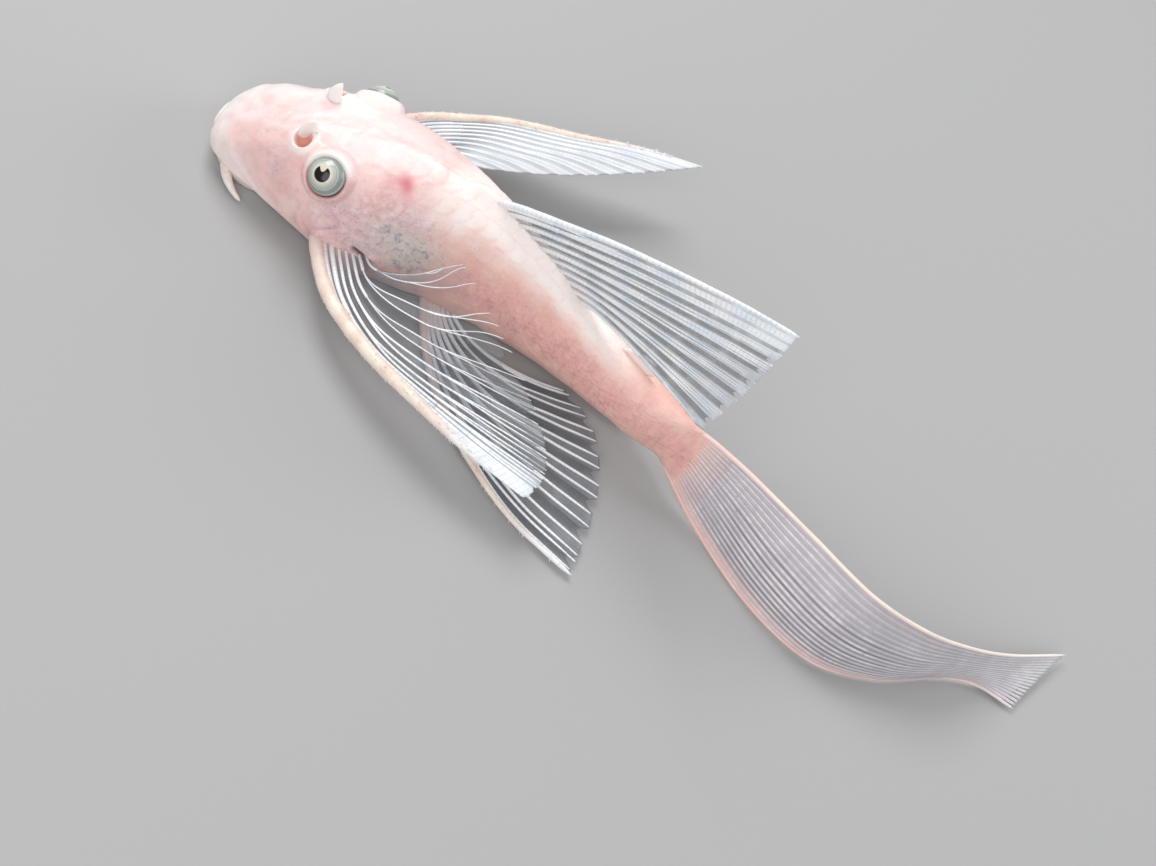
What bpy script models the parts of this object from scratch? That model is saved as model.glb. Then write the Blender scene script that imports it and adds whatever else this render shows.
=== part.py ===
"""A longfin bristlenose pleco, a young one without bristles, at life size.

The fish lies on its belly as it does when it clings to a rock. Its head is turned to the left,
its fins are spread, and the end of its long tail fin lies over on the surface. Everything is in
millimetres until a mesh is made. +X is forward, +Y the fish's left, +Z up, and the origin is
the middle of the flat of the belly.
"""

import math

import bmesh
import bpy
import numpy as np
from mathutils import Vector

MM = 0.001  # one millimetre in Blender's metres
GAP = 0.3  # clearance between pieces that touch
WEB_HALF = 0.27  # half the membrane's thickness
WEB_SHARE = 0.955  # how far the membrane reaches along the rays it joins
WEB_FLOOR = 0.15  # the lowest a membrane lies
SPINE_FLOOR = 0.05  # the lowest a spine or barbel lies
ROOT_SHARE = 0.2  # the share of the tail fin's length over which its fleshy root thins out
RAY_THINNING = 0.35  # how much of its thickness a ray loses on its way to the tip

# Driving sizes of the body. A station is a distance from the tip of the snout.
STANDARD_LENGTH = 75.0
BELLY_STATION = 34.0  # the station that lies over the origin
HEAD_TURN = math.radians(16.0)  # the head turned to the left
TAIL_TURN = math.radians(-4.5)  # the tail stem turned to the right
HEAD_BEND = (20.0, 48.0)  # stations between which the back bends behind the head
TAIL_BEND = (50.0, 80.0)  # stations between which it bends on towards the tail
HEAD_END = 24.5
TORSO_END = 52.0

# Station, half width, top, bottom, height of the widest line, squareness above and below it.
BODY_SECTIONS = (
    (0.0, 2.6, 4.1, 2.1, 3.0, 2.1, 2.0),
    (0.5, 4.4, 5.4, 1.7, 3.0, 2.2, 2.4),
    (2.0, 6.2, 7.2, 1.5, 3.1, 2.4, 3.0),
    (5.0, 7.5, 9.6, 1.4, 3.2, 2.6, 4.0),
    (9.0, 8.4, 11.6, 1.4, 3.3, 2.8, 4.0),
    (14.0, 9.8, 13.2, 1.3, 3.5, 2.8, 4.0),
    (20.0, 11.0, 14.7, 0.6, 3.9, 2.6, 4.0),
    (24.5, 11.1, 15.7, -0.2, 3.9, 2.4, 4.0),
    (30.0, 9.8, 16.6, -0.5, 3.8, 2.2, 4.0),
    (37.0, 7.6, 17.0, -0.5, 4.2, 2.1, 3.6),
    (46.0, 5.3, 15.9, -0.3, 5.2, 2.0, 3.0),
    (52.0, 4.3, 14.6, 0.6, 6.0, 2.0, 2.6),
    (58.0, 4.1, 13.4, 1.7, 6.7, 2.1, 2.4),
    (64.0, 4.1, 12.5, 2.6, 7.2, 2.1, 2.3),
    (70.0, 3.6, 12.1, 3.1, 7.5, 2.1, 2.2),
    (75.0, 2.5, 12.2, 3.3, 7.7, 2.0, 2.0),
)

# Bony plates: rows a side, and the raised rear edge of each plate.
PLATE_ROWS = 5
PLATE_PITCH = 2.9
PLATE_RISE = 0.28
PLATE_EDGE = 0.72  # where along its pitch a plate stands highest
SEAM_SHARE = 0.15  # how much of that height is left between two rows
PLATE_POINT = 0.7  # how far the middle of a plate's rear edge runs back
BACK_POINTS = 2 * PLATE_ROWS + 1  # points of a section from the ridge of the back to a side
BELLY_POINTS = 5  # points of a section between one side and the middle of the belly

# Head details: station, distance from the midline, height.
EYE_RADIUS = 2.6
EYE_PLACE = (17.4, 8.0, 11.8)
NOSTRIL_PLACE = (11.2, 4.4, 11.3)
NOSTRIL_RADIUS = 0.85
NOSTRIL_DEPTH = 1.2
FLAP_OFFSET = (0.7, -1.0, 1.0)  # from the nostril: back, towards the midline, up
FLAP_RADII = (0.75, 0.6, 1.5)
GILL_COVER_PLACE = (21.0, 10.8, 7.0)

# How far each form of the head stands out, and how wide it is.
RIM_RISE, RIM_OFFSET, RIM_WIDTH = 0.8, 0.3, 0.95
MOUND_RISE, MOUND_WIDTH = 0.55, 1.9
COVER_RISE, COVER_WIDTH = 0.5, 3.4

FLESH = ("pink flesh", (0.86, 0.66, 0.62, 1.0), 0.42)
FIN = ("fin white", (0.86, 0.87, 0.88, 1.0), 0.35)
LIP = ("lip white", (0.90, 0.86, 0.82, 1.0), 0.40)
EYE = ("eye grey", (0.55, 0.60, 0.58, 1.0), 0.12)


def clear_scene():
    """Removes what the scene starts with."""
    for obj in list(bpy.data.objects):
        bpy.data.objects.remove(obj, do_unlink=True)


def smooth_step(x):
    """0 below 0, 1 above 1 and a smooth rise between."""
    x = min(max(x, 0.0), 1.0)
    return x * x * (3 - 2 * x)


def heading(station):
    """The way the backbone points at a station, turned from +X."""
    head, tail = (smooth_step((station - start) / (end - start)) for start, end in (HEAD_BEND, TAIL_BEND))
    return HEAD_TURN * (1 - head) + TAIL_TURN * tail


def backbone_table(step=0.5):
    """Stations from ahead of the snout to behind the tail, and the backbone's place at each."""
    stations = np.arange(-4.0, STANDARD_LENGTH + 8.0, step)
    turns = np.array([heading(s) for s in stations])
    x = -np.concatenate([[0], np.cumsum((np.cos(turns[1:]) + np.cos(turns[:-1])) / 2 * step)])
    y = -np.concatenate([[0], np.cumsum((np.sin(turns[1:]) + np.sin(turns[:-1])) / 2 * step)])
    x -= np.interp(BELLY_STATION, stations, x)
    y -= np.interp(BELLY_STATION, stations, y)
    return stations, x, y


BACKBONE = backbone_table()


def place(station, side, height):
    """A point of the bent body from its station, distance to the left and height."""
    stations, x, y = BACKBONE
    turn = heading(station)
    return Vector(
        (
            float(np.interp(station, stations, x)) - side * math.sin(turn),
            float(np.interp(station, stations, y)) + side * math.cos(turn),
            height,
        )
    )


def section(station):
    """Half width, top, bottom, widest height and both squarenesses, read smoothly between rows."""
    rows = np.array(BODY_SECTIONS)
    along = np.sqrt(np.maximum(rows[:, 0], 0))  # the square root rounds the snout
    at = math.sqrt(min(max(station, 0.0), STANDARD_LENGTH))
    k = int(np.clip(np.searchsorted(along, at) - 1, 0, len(along) - 2))
    slopes = np.gradient(rows[:, 1:], along, axis=0)
    span = along[k + 1] - along[k]
    t = (at - along[k]) / span
    return (
        rows[k, 1:] * (2 * t**3 - 3 * t**2 + 1)
        + slopes[k] * span * (t**3 - 2 * t**2 + t)
        + rows[k + 1, 1:] * (3 * t**2 - 2 * t**3)
        + slopes[k + 1] * span * (t**3 - t**2)
    )


def power(value, exponent):
    """A signed power, for the rounded square of a section."""
    return math.copysign(abs(value) ** exponent, value)


def outline_point(station, angle, grow=0.0):
    """A point on the plain body. Angle 0 is its left side, a quarter turn the ridge of the back."""
    half, top, bottom, wide, above, below = section(station)
    if math.sin(angle) >= 0:
        reach, square = top + grow - wide, above
    else:
        reach, square = wide - bottom + grow, below
    side = (half + grow) * power(math.cos(angle), 2 / square)
    height = wide + reach * power(math.sin(angle), 2 / square)
    return place(station, side, max(height, -grow))


def swelling(point, centre, reach):
    """1 at a bump's centre, falling to nothing past its reach."""
    return math.exp(-((point - centre).length_squared) / reach**2)


def head_relief(point):
    """How far the head's skin stands out at a point: eye rims, nostrils and gill covers."""
    rise = 0.0
    for side in (1, -1):
        eye = place(EYE_PLACE[0], side * EYE_PLACE[1], EYE_PLACE[2])
        nostril = place(NOSTRIL_PLACE[0], side * NOSTRIL_PLACE[1], NOSTRIL_PLACE[2])
        cover = place(GILL_COVER_PLACE[0], side * GILL_COVER_PLACE[1], GILL_COVER_PLACE[2])
        from_rim = ((point - eye).length - EYE_RADIUS - RIM_OFFSET) / RIM_WIDTH
        rise += RIM_RISE * math.exp(-(from_rim**2))
        rise += MOUND_RISE * swelling(point, nostril, MOUND_WIDTH)
        rise += COVER_RISE * swelling(point, cover, COVER_WIDTH)
    return rise


def plate_rise(index):
    """How much of a plate's rise a point of a section gets, by its place round the section."""
    from_ridge = min(index, 2 * (BACK_POINTS - 1 + BELLY_POINTS) - index)
    if from_ridge > BACK_POINTS - 1:
        return 0.0
    return 1.0 if from_ridge % 2 else SEAM_SHARE


def section_angles(points_above, points_below):
    """Angles round a section, from the ridge over the right side and the belly back again."""
    above = [math.pi / 2 * (1 - i / points_above) for i in range(points_above)]
    below = [-math.pi / 2 * i / points_below for i in range(points_below)]
    left = above + below
    right = [math.pi - a for a in reversed(left[1:])]
    return left + [-math.pi / 2] + right


def plated_ring(station, rise, grow=0.0):
    """A section of the plated body, its points raised and pushed back where a plate ends."""
    ring = []
    angles = section_angles(BACK_POINTS - 1, BELLY_POINTS)
    for index, angle in enumerate(angles):
        share = plate_rise(index)
        back = PLATE_POINT if rise and share == 1.0 else 0.0
        ring.append(outline_point(station + back, angle, grow + rise * share))
    return ring


def head_ring(station, points_above, points_below, grow=0.0):
    """A section of the head with its relief, pushed out from the section's middle."""
    ring = []
    for angle in section_angles(points_above, points_below):
        point = outline_point(station, angle, grow)
        middle = place(station, 0, section(station)[3])
        out = point - middle
        if point.z > middle.z:
            point = point + out.normalized() * head_relief(point)
        ring.append(point)
    return ring


def plated_stations(start, end):
    """Station and rise of each section between two cuts: low where a plate starts, high at its end."""
    count = round((end - start) / PLATE_PITCH)
    pitch = (end - start) / count
    rows = []
    for i in range(count):
        rows.append((start + i * pitch, 0.0))
        rows.append((start + (i + PLATE_EDGE) * pitch, PLATE_RISE))
    rows.append((end, 0.0))
    return rows


def loft(rings):
    """One closed mesh over rings of equal length, with a fan of faces on each end."""
    mesh = bmesh.new()
    loops = [[mesh.verts.new(p * MM) for p in ring] for ring in rings]
    count = len(loops[0])
    for first, second in zip(loops, loops[1:]):
        for i in range(count):
            j = (i + 1) % count
            mesh.faces.new((first[i], second[i], second[j]))
            mesh.faces.new((first[i], second[j], first[j]))
    for loop, flip in ((loops[0], False), (loops[-1], True)):
        middle = mesh.verts.new(sum((v.co for v in loop), Vector()) / count)
        for i in range(count):
            j = (i + 1) % count
            corners = (loop[j], middle, loop[i]) if not flip else (loop[i], middle, loop[j])
            mesh.faces.new(corners)
    bmesh.ops.recalc_face_normals(mesh, faces=mesh.faces)
    return mesh


def paint(name, colour, roughness):
    """One plain material, made once."""
    material = bpy.data.materials.get(name)
    if material is None:
        material = bpy.data.materials.new(name)
        material.use_nodes = True
        shader = material.node_tree.nodes["Principled BSDF"]
        shader.inputs["Base Color"].default_value = colour
        shader.inputs["Roughness"].default_value = roughness
        material.diffuse_color = colour
    return material


def add_object(name, mesh, finish):
    """A named object from a bmesh, with its material."""
    data = bpy.data.meshes.new(name)
    mesh.to_mesh(data)
    mesh.free()
    obj = bpy.data.objects.new(name, data)
    obj.data.materials.append(paint(*finish))
    bpy.context.scene.collection.objects.link(obj)
    return obj


def keep_largest(obj):
    """Drops every loose scrap but the largest closed surface."""
    mesh = bmesh.new()
    mesh.from_mesh(obj.data)
    left = set(mesh.verts)
    groups = []
    while left:
        grown = {left.pop()}
        edge = list(grown)
        while edge:
            vert = edge.pop()
            for link in vert.link_edges:
                other = link.other_vert(vert)
                if other in left:
                    left.discard(other)
                    grown.add(other)
                    edge.append(other)
        groups.append(grown)
    groups.sort(key=len)
    for scrap in groups[:-1]:
        bmesh.ops.delete(mesh, geom=list(scrap), context="VERTS")
    bmesh.ops.triangulate(mesh, faces=mesh.faces)
    mesh.to_mesh(obj.data)
    mesh.free()


def combine(obj, others, operation):
    """Joins or cuts an object with closed meshes in one Boolean, applies it and removes them."""
    tools = bpy.data.collections.new("tools")
    for other in others:
        bpy.context.scene.collection.objects.unlink(other)
        tools.objects.link(other)
    bpy.context.scene.collection.children.link(tools)
    change = obj.modifiers.new("combine", "BOOLEAN")
    change.operation = operation
    change.operand_type = "COLLECTION"
    change.collection = tools
    change.solver = "EXACT"
    bpy.context.view_layer.update()
    data = bpy.data.meshes.new_from_object(obj.evaluated_get(bpy.context.evaluated_depsgraph_get()))
    obj.modifiers.clear()
    obj.data = data
    for other in others:
        bpy.data.objects.remove(other, do_unlink=True)
    bpy.data.collections.remove(tools)
    keep_largest(obj)


def ball(name, centre, radii, segments=18, rings=11, finish=FLESH):
    """A closed ball or egg about a point."""
    mesh = bmesh.new()
    bmesh.ops.create_uvsphere(mesh, u_segments=segments, v_segments=rings, radius=1.0)
    bmesh.ops.scale(mesh, vec=Vector(radii) * MM, verts=mesh.verts)
    bmesh.ops.translate(mesh, vec=centre * MM, verts=mesh.verts)
    return add_object(name, mesh, finish)


def body_clearance():
    """The whole body grown by the clearance, which cuts the root of each fin and the lips."""
    rings = [head_ring(0.0, 10, 5, GAP)]
    rings[0] = [p + place(-GAP, 0, 0) - place(0, 0, 0) for p in rings[0]]
    rings += [head_ring(s, 10, 5, GAP) for s in (0.5, 2, 5, 9, 14, 17, 20, HEAD_END - 0.5)]
    rings += [plated_ring(s, r, GAP) for s, r in plated_stations(HEAD_END, TORSO_END)]
    rings += [plated_ring(s, r, GAP) for s, r in plated_stations(TORSO_END, STANDARD_LENGTH)[1:]]
    rings.append([p + place(STANDARD_LENGTH + GAP, 0, 0) - place(STANDARD_LENGTH, 0, 0) for p in rings[-1]])
    return add_object("body_clearance", loft(rings), FLESH)


def make_head():
    """The head, with eye sockets and nostril pits cut and a flap raised behind each nostril."""
    stations = [0.0, 0.25, 0.7, 1.4, 2.4, 3.8, 5.4]
    stations += list(np.linspace(7.0, HEAD_END - GAP / 2, 16))
    head = add_object("head", loft([head_ring(s, 15, 7) for s in stations]), FLESH)
    flaps = []
    cutters = []
    for side in (1, -1):
        eye = place(EYE_PLACE[0], side * EYE_PLACE[1], EYE_PLACE[2])
        cutters.append(ball("socket", eye, [EYE_RADIUS + GAP] * 3, 16, 10))
        station, out, height = NOSTRIL_PLACE
        pit = place(station, side * out, height + NOSTRIL_DEPTH / 2)
        cutters.append(ball("pit", pit, (NOSTRIL_RADIUS, NOSTRIL_RADIUS, NOSTRIL_DEPTH), 10, 6))
        flap = place(station + FLAP_OFFSET[0], side * (out + FLAP_OFFSET[1]), height + FLAP_OFFSET[2])
        flaps.append(ball("flap", flap, FLAP_RADII, 8, 6))
    combine(head, flaps, "UNION")
    combine(head, cutters, "DIFFERENCE")
    return head


def make_body_length(name, start, end):
    """One plated length of the body."""
    rings = [plated_ring(s, r) for s, r in plated_stations(start, end)]
    return add_object(name, loft(rings), FLESH)


def make_eye(name, side):
    """One eyeball, sunk in its socket."""
    centre = place(EYE_PLACE[0], side * EYE_PLACE[1], EYE_PLACE[2])
    return ball(name, centre, [EYE_RADIUS] * 3, 20, 12, EYE)


# Fins. A fin is a fan of rays between three guides: its leading ray, a middle one and its last.
# Each guide is a smooth curve through its points, from a root sunk in the body to its tip.
LEFT_PECTORAL = (
    (
        (14.0, 10.5, 4.2),
        (9.0, 16.0, 4.3),
        (2.5, 20.5, 4.8),
        (-6.0, 23.0, 5.6),
        (-14.0, 24.0, 6.4),
        (-24.0, 24.5, 6.8),
        (-33.5, 23.5, 6.6),
    ),
    (
        (10.5, 9.5, 4.2),
        (6.0, 14.0, 4.5),
        (1.0, 17.8, 5.0),
        (-5.5, 20.0, 5.8),
        (-13.0, 19.5, 6.6),
        (-21.0, 17.0, 7.2),
        (-28.5, 14.0, 7.6),
    ),
    (
        (7.5, 8.5, 4.2),
        (5.0, 10.8, 4.6),
        (2.5, 12.5, 5.6),
        (-0.5, 12.8, 8.0),
        (-3.2, 12.0, 10.5),
        (-5.0, 9.8, 12.2),
        (-6.5, 7.8, 13.2),
    ),
)
RIGHT_PECTORAL = (
    (
        (19.5, -6.0, 4.2),
        (17.0, -13.5, 4.6),
        (13.5, -18.5, 5.2),
        (7.5, -25.0, 6.2),
        (-0.5, -31.0, 7.4),
        (-8.5, -37.5, 8.6),
        (-16.5, -42.5, 9.6),
    ),
    (
        (16.5, -6.0, 4.2),
        (14.0, -12.0, 4.6),
        (11.5, -15.8, 5.1),
        (8.0, -19.0, 6.0),
        (3.0, -22.0, 6.8),
        (-1.5, -24.5, 7.4),
        (-6.0, -26.0, 7.6),
    ),
    (
        (13.5, -6.0, 4.2),
        (11.5, -9.5, 4.6),
        (10.0, -11.3, 5.0),
        (8.5, -12.0, 5.6),
        (7.0, -12.5, 6.2),
        (5.5, -13.0, 6.6),
        (4.0, -13.7, 7.0),
    ),
)
LEFT_PELVIC = (
    (
        (-1.5, 4.0, 0.9),
        (-8.5, 12.0, 0.9),
        (-15.5, 17.2, 0.8),
        (-23.0, 20.5, 0.8),
        (-33.0, 23.0, 0.8),
        (-44.0, 23.0, 0.8),
    ),
    (
        (-3.0, 3.5, 0.9),
        (-9.0, 9.0, 0.9),
        (-16.0, 11.5, 0.9),
        (-23.0, 11.5, 0.9),
        (-30.0, 9.2, 0.9),
        (-36.5, 6.2, 0.9),
    ),
    (
        (-5.0, 3.0, 0.9),
        (-9.0, 5.5, 0.9),
        (-13.0, 6.2, 0.9),
        (-17.5, 5.4, 0.8),
        (-22.0, 3.6, 0.8),
        (-26.0, 1.2, 0.8),
    ),
)
RIGHT_PELVIC = (
    (
        (-1.5, -4.0, 0.9),
        (-7.5, -10.0, 0.9),
        (-15.0, -12.0, 0.8),
        (-24.0, -12.5, 0.8),
        (-33.5, -12.0, 0.8),
        (-43.0, -11.5, 0.8),
    ),
    (
        (-3.0, -3.5, 0.9),
        (-8.5, -8.0, 0.9),
        (-15.0, -9.5, 0.9),
        (-22.5, -9.5, 0.9),
        (-30.0, -8.5, 0.9),
        (-37.0, -7.2, 0.9),
    ),
    (
        (-5.0, -3.0, 0.9),
        (-9.0, -5.8, 0.9),
        (-13.0, -7.0, 0.9),
        (-17.0, -6.8, 0.8),
        (-21.0, -5.9, 0.8),
        (-25.0, -4.8, 0.8),
    ),
)
DORSAL = (
    (
        (-1.0, -0.2, 14.5),
        (-5.0, -0.2, 18.4),
        (-11.5, -0.4, 21.9),
        (-20.0, -0.8, 25.9),
        (-29.0, -1.3, 29.3),
        (-37.0, -1.9, 31.8),
        (-44.5, -2.6, 33.5),
    ),
    (
        (-9.0, -0.4, 14.0),
        (-14.0, -0.4, 17.0),
        (-20.0, -0.4, 19.3),
        (-26.5, -0.3, 21.3),
        (-33.0, -0.2, 22.9),
        (-39.0, -0.1, 24.2),
        (-44.5, 0.0, 25.0),
    ),
    (
        (-17.0, -0.6, 12.5),
        (-21.5, -0.6, 14.4),
        (-26.0, 0.2, 15.3),
        (-31.0, 1.1, 15.8),
        (-35.5, 1.6, 15.6),
        (-39.5, 1.9, 15.2),
        (-43.5, 2.2, 14.8),
    ),
)
ANAL = (
    ((-16.0, -0.8, 2.2), (-21.0, -1.2, 1.2), (-26.0, -1.8, 0.8), (-32.0, -2.4, 0.6), (-38.0, -2.6, 0.6)),
    ((-18.5, -0.8, 2.8), (-22.0, -1.1, 1.8), (-26.0, -1.6, 1.4), (-30.5, -2.1, 1.2), (-34.5, -2.2, 1.2)),
    ((-21.0, -0.8, 3.2), (-23.5, -1.0, 2.3), (-25.8, -1.3, 2.0), (-28.0, -1.6, 1.8), (-30.0, -1.7, 1.8)),
)
CAUDAL = (
    (
        (-39.5, -0.2, 11.6),
        (-50.5, -1.0, 11.4),
        (-62.5, -0.6, 11.3),
        (-74.0, -0.2, 11.2),
        (-82.5, -3.2, 10.0),
        (-89.0, -8.6, 7.6),
        (-95.5, -16.5, 4.0),
        (-103.5, -27.5, 0.9),
    ),
    (
        (-39.5, 0.0, 7.8),
        (-50.5, 1.5, 6.6),
        (-62.5, 4.2, 6.2),
        (-74.0, 4.4, 5.8),
        (-83.0, -0.5, 4.8),
        (-90.0, -8.0, 3.4),
        (-96.0, -14.5, 1.6),
        (-102.0, -19.8, 0.8),
    ),
    (
        (-39.5, 0.0, 4.0),
        (-51.0, 3.0, 0.9),
        (-63.0, 6.3, 0.6),
        (-74.0, 6.2, 0.6),
        (-82.5, 0.8, 0.6),
        (-89.0, -6.8, 0.6),
        (-94.5, -11.0, 0.6),
        (-101.0, -12.6, 0.6),
    ),
)

# The adipose fin's guides, as stations behind its root and heights over it.
ADIPOSE_STATION = 62.0
ADIPOSE_SINK = 0.6
ADIPOSE = (
    ((0.0, 0.0), (1.6, 1.3), (3.4, 2.1), (5.2, 2.5)),
    ((2.6, 0.0), (3.4, 0.8), (4.4, 1.3), (5.5, 1.6)),
    ((5.0, 0.0), (5.3, 0.3), (5.6, 0.5), (5.9, 0.7)),
)


def through(points, t):
    """A point on the smooth curve through the points, from 0 at the first to 1 at the last."""
    spans = len(points) - 1
    k = min(int(t * spans), spans - 1)
    f = t * spans - k
    p = [Vector(points[min(max(i, 0), spans)]) for i in (k - 1, k, k + 1, k + 2)]
    if k == 0:
        p[0] = 2 * p[1] - p[2]
    if k == spans - 1:
        p[3] = 2 * p[2] - p[1]
    turn = (p[2] - p[0]) * f + (2 * p[0] - 5 * p[1] + 4 * p[2] - p[3]) * f**2
    return p[1] + 0.5 * (turn + (3 * p[1] - 3 * p[2] + p[3] - p[0]) * f**3)


def fin_point(guides, across, along):
    """A point of the fin's middle surface. Across runs from 0, the leading ray, to 1, the last."""
    lead, middle, last = (through(g, along) for g in guides)
    u = across
    return lead * ((1 - u) * (1 - 2 * u)) + middle * (4 * u * (1 - u)) + last * (u * (2 * u - 1))


def fin_normal(guides, across, along):
    """The unit normal of the middle surface."""
    step = 0.01
    u0, u1 = max(across - step, 0), min(across + step, 1)
    t0, t1 = max(along - step, 0), min(along + step, 1)
    du = fin_point(guides, u1, along) - fin_point(guides, u0, along)
    dt = fin_point(guides, across, t1) - fin_point(guides, across, t0)
    return du.cross(dt).normalized()


def fin_columns(rays, ray_half, web_half):
    """Each column of the fin's grid: its place across, half thickness and share of the length."""
    columns = [(0.0, ray_half, 1.0)]
    for k in range(1, rays):
        columns.append(((k - 0.5) / (rays - 1), web_half, WEB_SHARE))
        columns.append((k / (rays - 1), ray_half, 1.0))
    return columns


def close_sheet(tops, bottoms):
    """One closed mesh from two grids of points, split into triangles alike on both faces."""
    mesh = bmesh.new()

    def corner(point):
        return mesh.verts.new(Vector((point.x, point.y, max(point.z, WEB_FLOOR))) * MM)

    upper = [[corner(p) for p in line] for line in tops]
    lower = [[corner(p) for p in line] for line in bottoms]
    wide, long = len(upper), len(upper[0])
    for i in range(wide - 1):
        for j in range(long - 1):
            for grid, turn in ((upper, 1), (lower, -1)):
                a, b, c, d = grid[i][j], grid[i + 1][j], grid[i + 1][j + 1], grid[i][j + 1]
                mesh.faces.new((a, b, c)[::turn])
                mesh.faces.new((a, c, d)[::turn])
    rim = [(i, 0) for i in range(wide)] + [(wide - 1, j) for j in range(1, long)]
    rim += [(i, long - 1) for i in range(wide - 2, -1, -1)] + [(0, j) for j in range(long - 2, 0, -1)]
    for (i, j), (k, m) in zip(rim, rim[1:] + rim[:1]):
        mesh.faces.new((upper[i][j], lower[i][j], lower[k][m]))
        mesh.faces.new((upper[i][j], lower[k][m], upper[k][m]))
    bmesh.ops.recalc_face_normals(mesh, faces=mesh.faces)
    return mesh


def tube(name, path, thick, sides, lengths, finish):
    """A closed tapered tube along a path. Path and thickness are functions of 0 to 1."""
    rings = []
    for k in range(lengths + 1):
        t = k / lengths
        way = (path(min(t + 0.02, 1)) - path(max(t - 0.02, 0))).normalized()
        across = way.cross(Vector((0, 0, 1))).normalized()
        up = across.cross(way)
        turns = [2 * math.pi * i / sides for i in range(sides)]
        ring = [path(t) + (across * math.cos(a) + up * math.sin(a)) * thick(t) for a in turns]
        rings.append([Vector((p.x, p.y, max(p.z, SPINE_FLOOR))) for p in ring])
    return add_object(name, loft(rings), finish)


def make_spine(guides, across, root, tip, lengths=13):
    """A fin's stout leading spine, as a tapered tube along one edge of its fan."""
    reach = 0.99  # it ends just short of the fan's own tip
    return tube(
        "spine",
        lambda t: fin_point(guides, across, reach * t),
        lambda t: root + (tip - root) * t,
        7,
        lengths,
        FIN,
    )


def make_fin(name, guides, rays, lengths, spine, ray_half=0.5, root_half=0.0, edges=(0.0,)):
    """A membrane with rays raised in its own surface, their tips a little past the web.

    The spine's two numbers are its radii at root and tip, and there is one along each of the
    edges. The root half is the extra thickness of a fleshy root.
    """
    tops, bottoms = [], []
    for across, half, share in fin_columns(rays, ray_half, WEB_HALF):
        top, bottom = [], []
        for k in range(lengths + 1):
            along = share * (k / lengths) ** 0.9
            thin = 1 - RAY_THINNING * along if half > WEB_HALF else 1.0
            thick = half * thin + root_half * max(0.0, 1 - along / ROOT_SHARE)
            centre = fin_point(guides, across, along)
            out = fin_normal(guides, across, min(along, 0.99)) * thick
            top.append(centre + out)
            bottom.append(centre - out)
        tops.append(top)
        bottoms.append(bottom)
    fin = add_object(name, close_sheet(tops, bottoms), FIN)
    combine(fin, [make_spine(guides, edge, *spine) for edge in edges], "UNION")
    combine(fin, [body_clearance()], "DIFFERENCE")
    return fin


def make_adipose():
    """The small fin on the tail stem: a short spine with a triangle of skin behind it."""
    low = section(ADIPOSE_STATION)[1] - ADIPOSE_SINK
    guides = []
    for line in ADIPOSE:
        guides.append([place(ADIPOSE_STATION + along, -0.3, low + up) for along, up in line])
    return make_fin("adipose_fin", guides, 2, 5, (0.5, 0.3), 0.3)


# The sucking mouth: a disc under the snout whose thick lip ring rests on the surface.
LIP_STATION = 7.2
LIP_LENGTH = 6.8
LIP_WIDTH = 6.8
LIP_RING = (
    (1.0, 3.0),
    (1.03, 1.6),
    (1.0, 0.5),
    (0.93, 0.0),
    (0.72, 0.0),
    (0.60, 0.35),
    (0.50, 1.0),
    (0.25, 1.2),
)
BARBEL_REACH = 3.0
JAW_OFFSET = 0.9  # each tooth row from the middle of the mouth


def lip_point(angle, share, height):
    """A point of the lip disc: share of its size out from its middle, at a height."""
    station = LIP_STATION - LIP_LENGTH * share * math.cos(angle)
    return place(station, LIP_WIDTH * share * math.sin(angle), height)


def make_mouth(points=28):
    """The lips as a turned ring with a shallow dish, and a barbel at each corner."""
    rings = []
    for share, height in LIP_RING:
        rings.append([lip_point(2 * math.pi * i / points, share, height) for i in range(points)])
    mouth = add_object("mouth", loft(rings), LIP)
    pieces = [make_barbel(1), make_barbel(-1), make_jaw(-JAW_OFFSET), make_jaw(JAW_OFFSET)]
    combine(mouth, pieces, "UNION")
    combine(mouth, [body_clearance()], "DIFFERENCE")
    return mouth


def make_barbel(side):
    """A short feeler from the corner of the mouth, thin at its tip."""
    root = place(LIP_STATION - 1.2, side * (LIP_WIDTH - 1.2), 1.0)
    handle = place(LIP_STATION - 1.8, side * (LIP_WIDTH + 1.4), 0.9)
    tip = place(LIP_STATION + 1.0, side * (LIP_WIDTH + BARBEL_REACH), 0.5)
    return tube(
        "barbel",
        lambda t: root * (1 - t) ** 2 + handle * (2 * t * (1 - t)) + tip * t * t,
        lambda t: 0.75 - 0.53 * t,
        7,
        6,
        LIP,
    )


def make_jaw(offset):
    """One of the two short tooth rows inside the lips."""
    return ball("jaw", place(LIP_STATION + offset, 0, 0.95), (0.45, 1.7, 0.45), 10, 6, LIP)


def build():
    """Makes every node of the fish."""
    clear_scene()
    make_head()
    make_body_length("torso", HEAD_END + GAP / 2, TORSO_END - GAP / 2)
    make_body_length("tail_stem", TORSO_END + GAP / 2, STANDARD_LENGTH)
    make_mouth()
    make_eye("eye_left", 1)
    make_eye("eye_right", -1)
    make_fin("pectoral_fin_left", LEFT_PECTORAL, 12, 12, (1.2, 0.6))
    make_fin("pectoral_fin_right", RIGHT_PECTORAL, 11, 11, (1.2, 0.6))
    make_fin("pelvic_fin_left", LEFT_PELVIC, 10, 11, (0.8, 0.4), 0.42)
    make_fin("pelvic_fin_right", RIGHT_PELVIC, 7, 10, (0.8, 0.4), 0.42)
    make_fin("dorsal_fin", DORSAL, 13, 11, (0.85, 0.4))
    make_fin("anal_fin", ANAL, 5, 5, (0.5, 0.35), 0.38)
    make_fin("caudal_fin", CAUDAL, 14, 15, (0.7, 0.4), 0.42, 1.1, edges=(0.0, 1.0))
    make_adipose()
    for obj in bpy.context.scene.objects:
        obj.data.shade_smooth()
        obj.data.set_sharp_from_angle(angle=math.radians(50))


build()
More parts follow.
